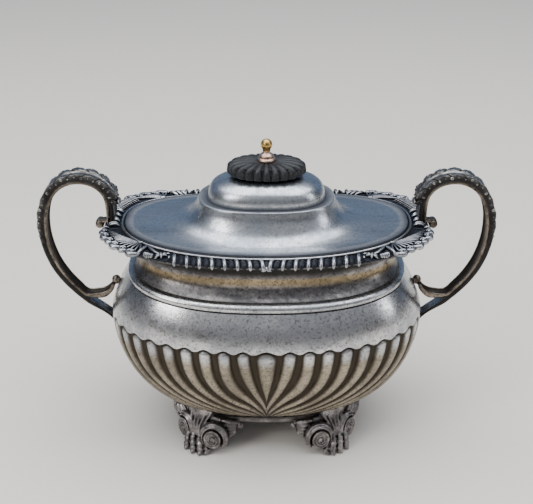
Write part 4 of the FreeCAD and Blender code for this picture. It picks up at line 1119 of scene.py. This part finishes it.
def foot():
    """Lion's paw with two scrolls and two leaves; p runs along the bowl's side, q outwards."""
    clay = Clay()
    clay.blob((-1.2, 0.2, 3.4), (6.2, 3.6, 3.8), rings=12, sides=24)
    clay.blob((-0.8, 0.0, 7.2), (4.8, 2.2, 2.6), rings=12, sides=24)
    ankle = [(-1.2, -0.4, 3.0), (-0.6, -0.8, 7.0), (-0.4, -1.9, 11.5), (-0.2, -3.4, 16.5), (0, -5.0, 22.0)]
    clay.cord(ankle, (4.8, 4.4, 4.6, 6.4, 8.4), (2.8, 2.6, 2.6, 2.8, 3.2),
              up=(0, 1, 0.2), sides=24, count=14)
    web = [(-18.6, -9.0, 15.0), (-14.0, -6.6, 13.6), (-9.0, -4.4, 12.8), (-2.0, -3.2, 13.6),
           (5.0, -4.4, 14.5), (10.0, -5.4, 16.0), (14.6, -6.0, 18.0)]
    clay.cord(web, (1.6, 3.4, 5.0, 6.2, 6.2, 5.0, 1.8), (1.1, 1.6, 2.0, 2.2, 2.2, 1.8, 1.2), up=(0, 1, 0),
              sides=20, count=30)
    # toes, each a chain of knuckles with a blunt claw
    for top, tip, out in ((4.0, 3.9, 3.0), (1.0, -0.5, 4.4), (-2.2, -4.4, 4.3), (-4.6, -6.9, 2.6)):
        toe = np.array([(top, 0.9, 9.2), (0.7 * top + 0.3 * tip, out - 1.7, 7.4),
                        (0.35 * top + 0.65 * tip, out - 0.6, 5.0), (tip, out, 2.3), (tip, out + 0.3, 0.9)])
        clay.cord(toe, (1.1, 1.4, 1.5, 1.5, 1.2), (0.9, 1.2, 1.25, 1.2, 0.9),
                  up=(0, 1, 1), sides=14, count=16)
        for at, size in ((0.9, 1.45), (1.8, 1.75), (2.7, 1.85), (3.45, 1.6)):
            centre = smooth_run(toe, np.array([at]))[0]
            clay.blob(centre + (0, 0.3, 0), (size, 1.3, 1.15), rings=10, sides=16)
        clay.bar([(tip, out + 0.6, 1.7), (tip, out + 1.5, 1.1), (tip, out + 1.7, 0.3)],
                 0.9, 0.8, up=(0, 1, 0), count=10, lean=0.8)
    # fluted locks of fur up the ankle
    for p in np.linspace(-3.0, 1.9, 5):
        lock = [(p - 0.6, 2.0, 8.4), (p * 1.05 - 0.3, 1.4, 10.6), (p * 1.3, 0.3, 14.0),
                (p * 1.8, -1.3, 17.5), (p * 2.2, -3.0, 20.5)]
        clay.cord(lock, (0.4, 0.6, 0.65, 0.8, 0.7), (0.5, 0.8, 0.8, 0.8, 0.5),
                  up=(0, 1, 0.3), sides=8, count=20)
    volute(clay, (-8.1, -3.4, 9.1), (-0.29, 0.957, 0), 4.3, 5.1, 6.4, -1,
           ((-30, 220, 1.19, 1.6, 0.85), (15, 205, 1.42, 2.6, 0.8)))
    volute(clay, (5.4, -6.3, 9.4), (0.34, 0.94, 0), 4.2, 5.2, 6.6, 1,
           ((40, 262, 1.19, 1.3, 0.85), (55, 240, 1.44, 2.2, 0.8)))
    # leaves along the bowl, and a small curl on the end of each
    for k in range(5):
        level = 16.6 - 2.2 * k
        frond(clay, [(-11.0, -3.6, level), (-13.0, -4.0, level + 0.3), (-15.2, -5.2, level - 0.1 + 0.3 * k),
                     (-17.0, -6.8, level - 0.8 + 0.8 * k), (-18.6 + 0.55 * k, -8.2, 14.6 - 0.55 * k)],
              1.15, 1.3)
    clay.blob((-19.0, -8.4, 13.9), (1.7, 1.5, 1.8), rings=10, sides=14)
    clay.blob((-19.1, -7.0, 13.9), (0.9, 0.7, 0.95))
    for k in range(4):
        start = 11.5 - 1.7 * k
        frond(clay, [(start, -3.6, 12.2 + 1.1 * k), (start + 1.0, -3.4, 14.2 + 0.9 * k),
                     (start + 2.2, -3.6, 16.0 + 0.6 * k), (start + 3.1, -4.0, 17.6 + 0.4 * k),
                     (start + 3.6 + 0.5 * k, -4.6, 19.0 + 0.15 * k)], 1.1, 1.3)
    clay.blob((15.0, -4.9, 18.9), (1.1, 1.1, 1.2))
    cosine, sine = math.cos(FOOT_TURN), math.sin(FOOT_TURN)
    turn = np.array([[cosine, sine, 0], [-sine, cosine, 0], [0, 0, 1]])
    clay.points = [points @ turn + (FOOT_X, FOOT_Y, 0) for points in clay.points]
    return clay


def bowl_underside(x, y):
    """Level of the bowl's outside above places on the table."""
    low, high = np.full(x.shape, BASE_Z), np.full(x.shape, BELLY_Z)
    for _ in range(18):
        middle = (low + high) / 2
        length, width, square, _ = body_level(middle)
        inside = (np.abs(x) / length) ** square + (np.abs(y) / width) ** square < 1
        low, high = np.where(inside, low, middle), np.where(inside, middle, high)
    return high


def trimmed_foot():
    """The cast foot, cut off flat at the table and kept out of the inside of the bowl."""
    mesh = melt(foot().mesh("foot"), 0.27)
    points = np.zeros(len(mesh.vertices) * 3)
    mesh.vertices.foreach_get("co", points)
    points = points.reshape(-1, 3)
    limit = bowl_underside(*(points[:, :2].T * 1000)) + 0.7
    points[:, 2] = np.clip(points[:, 2], 0, limit * 0.001)
    mesh.vertices.foreach_set("co", points.ravel())
    return mesh


def base_band():
    """The footed band under the bowl: a short foot that flares out into the lobes' ends."""
    section = smooth_run([(-1.4, 13.1), (1.0, 13.0), (1.5, 13.4), (1.55, 14.4), (1.9, 15.6),
                          (3.0, 17.0), (5.0, 18.5), (7.2, 19.6)], 26)
    azimuths = even_azimuths(200, BASE_L, BASE_W, BASE_SQUARE)
    outer = []
    for out, z in section:
        length, width, square, _ = body_level(max(z, BASE_Z))
        # above the bowl's floor the band hugs the bowl
        room = math.inf if z < BASE_Z else 0.25
        outer.append(ring(azimuths, min(BASE_L + out, length + room), min(BASE_W + out, width + room),
                          square, z))
    inner = [ring(azimuths, BASE_L - 1.4, BASE_W - 1.4, BASE_SQUARE, z) for z in (BASE_Z + 0.2, 13.1)]
    clay = Clay()
    clay.grid(np.stack(outer + inner), close_rows=True)
    return clay


piece("base_band", base_band(), foot_silver, "base_ring", sharp=60)
paw = trimmed_foot()
for row, y in (("front", 1), ("back", -1)):
    for end, x in (("left", 1), ("right", -1)):
        piece("cast_foot_" + row + "_" + end, paw, foot_silver, "paw_foot_" + row + "_" + end,
              flip=(x, y))

for name, material in (("lid_bezel", lid_silver), ("knob_washer", nut_brass), ("knob_nut", nut_brass)):
    for place in nodes[name].material_slots:
        place.material = material


# ---------------------------------------------------------------- floor, light and camera
def floor_material():
    s = Shader("pale_floor")
    colour = (0.80, 0.76, 0.70)
    darker = tuple(0.96 * c for c in colour)
    s.link(s.mix(s.noise(3, 3, 0.5), colour, darker), s.surface.inputs["Base Color"])
    s.surface.inputs["Roughness"].default_value = 0.7
    return s.material


def lay_floor(half_size):
    mesh = bpy.data.meshes.new("floor")
    corners = [(x * half_size, y * half_size, 0) for x, y in ((-1, -1), (1, -1), (1, 1), (-1, 1))]
    mesh.from_pydata(corners, [], [(0, 1, 2, 3)])
    mesh.materials.append(floor_material())
    floor = bpy.data.objects.new("floor", mesh)
    bpy.context.scene.collection.objects.link(floor)


def softbox(name, place, aim, width, height, power, colour):
    data = bpy.data.lights.new(name, "AREA")
    data.shape = "RECTANGLE"
    data.size, data.size_y = width, height
    data.energy = power
    data.color = colour
    lamp = bpy.data.objects.new(name, data)
    lamp.location = place
    lamp.rotation_euler = (Vector(aim) - Vector(place)).to_track_quat("-Z", "Y").to_euler()
    bpy.context.scene.collection.objects.link(lamp)


lay_floor(3.0)
softbox("light_over", (0.0, -0.05, 1.15), (0, 0, 0.08), 1.7, 1.2, 22.0, (0.96, 0.98, 1.0))
softbox("light_left", (-0.85, -0.75, 0.75), (0, 0, 0.07), 0.5, 0.55, 6.0, (1.0, 0.99, 0.97))
softbox("light_right", (1.0, -0.3, 0.5), (0, 0, 0.07), 0.25, 0.6, 1.8, (0.95, 0.97, 1.0))


def studio_world():
    """A dim room round the softboxes, bluer behind the bowl and lighter in front of it.

    Seen straight on, the world shows as pale paper.
    """
    world = bpy.data.worlds.new("studio")
    bpy.context.scene.world = world
    world.use_nodes = True
    w = Nodes(world.node_tree)
    split = w.node("ShaderNodeSeparateXYZ")
    w.link(w.node("ShaderNodeTexCoord").outputs["Generated"], split.inputs[0])
    y, z = split.outputs["Y"], split.outputs["Z"]
    ramp = w.node("ShaderNodeValToRGB")
    w.link(z, ramp.inputs[0])
    stops = ((0.0, (0.16, 0.15, 0.145)), (0.12, (0.07, 0.075, 0.09)), (0.45, (0.10, 0.115, 0.15)),
             (0.7, (0.42, 0.45, 0.50)), (1.0, (0.85, 0.88, 0.90)))
    while len(ramp.color_ramp.elements) < len(stops):
        ramp.color_ramp.elements.new(0.5)
    for element, (position, colour) in zip(ramp.color_ramp.elements, stops):
        element.position = position
        element.color = (*colour, 1)
    behind = w.math("MULTIPLY", w.span(y, 0.1, 0.7), w.span(z, 0.75, 0.5))
    front = w.math("MULTIPLY", w.span(y, -0.25, -0.8), w.span(z, 0.12, 0.42))
    room = w.mix(front, w.mix(behind, ramp.outputs[0], (0.17, 0.24, 0.36)), (0.50, 0.51, 0.53))
    straight_on = w.node("ShaderNodeLightPath").outputs["Is Camera Ray"]
    background = w.tree.nodes["Background"]
    w.link(w.mix(straight_on, room, (0.72, 0.72, 0.72)), background.inputs["Color"])
    background.inputs["Strength"].default_value = 1.0


studio_world()

camera_data = bpy.data.cameras.new("camera")
camera_data.sensor_width = 36
camera_data.lens = 70.9193
camera = bpy.data.objects.new("camera", camera_data)
camera.location = (0, -0.4502, 0.29935)
camera.rotation_euler = (math.radians(65), 0, 0)
bpy.context.scene.collection.objects.link(camera)
bpy.context.scene.camera = camera
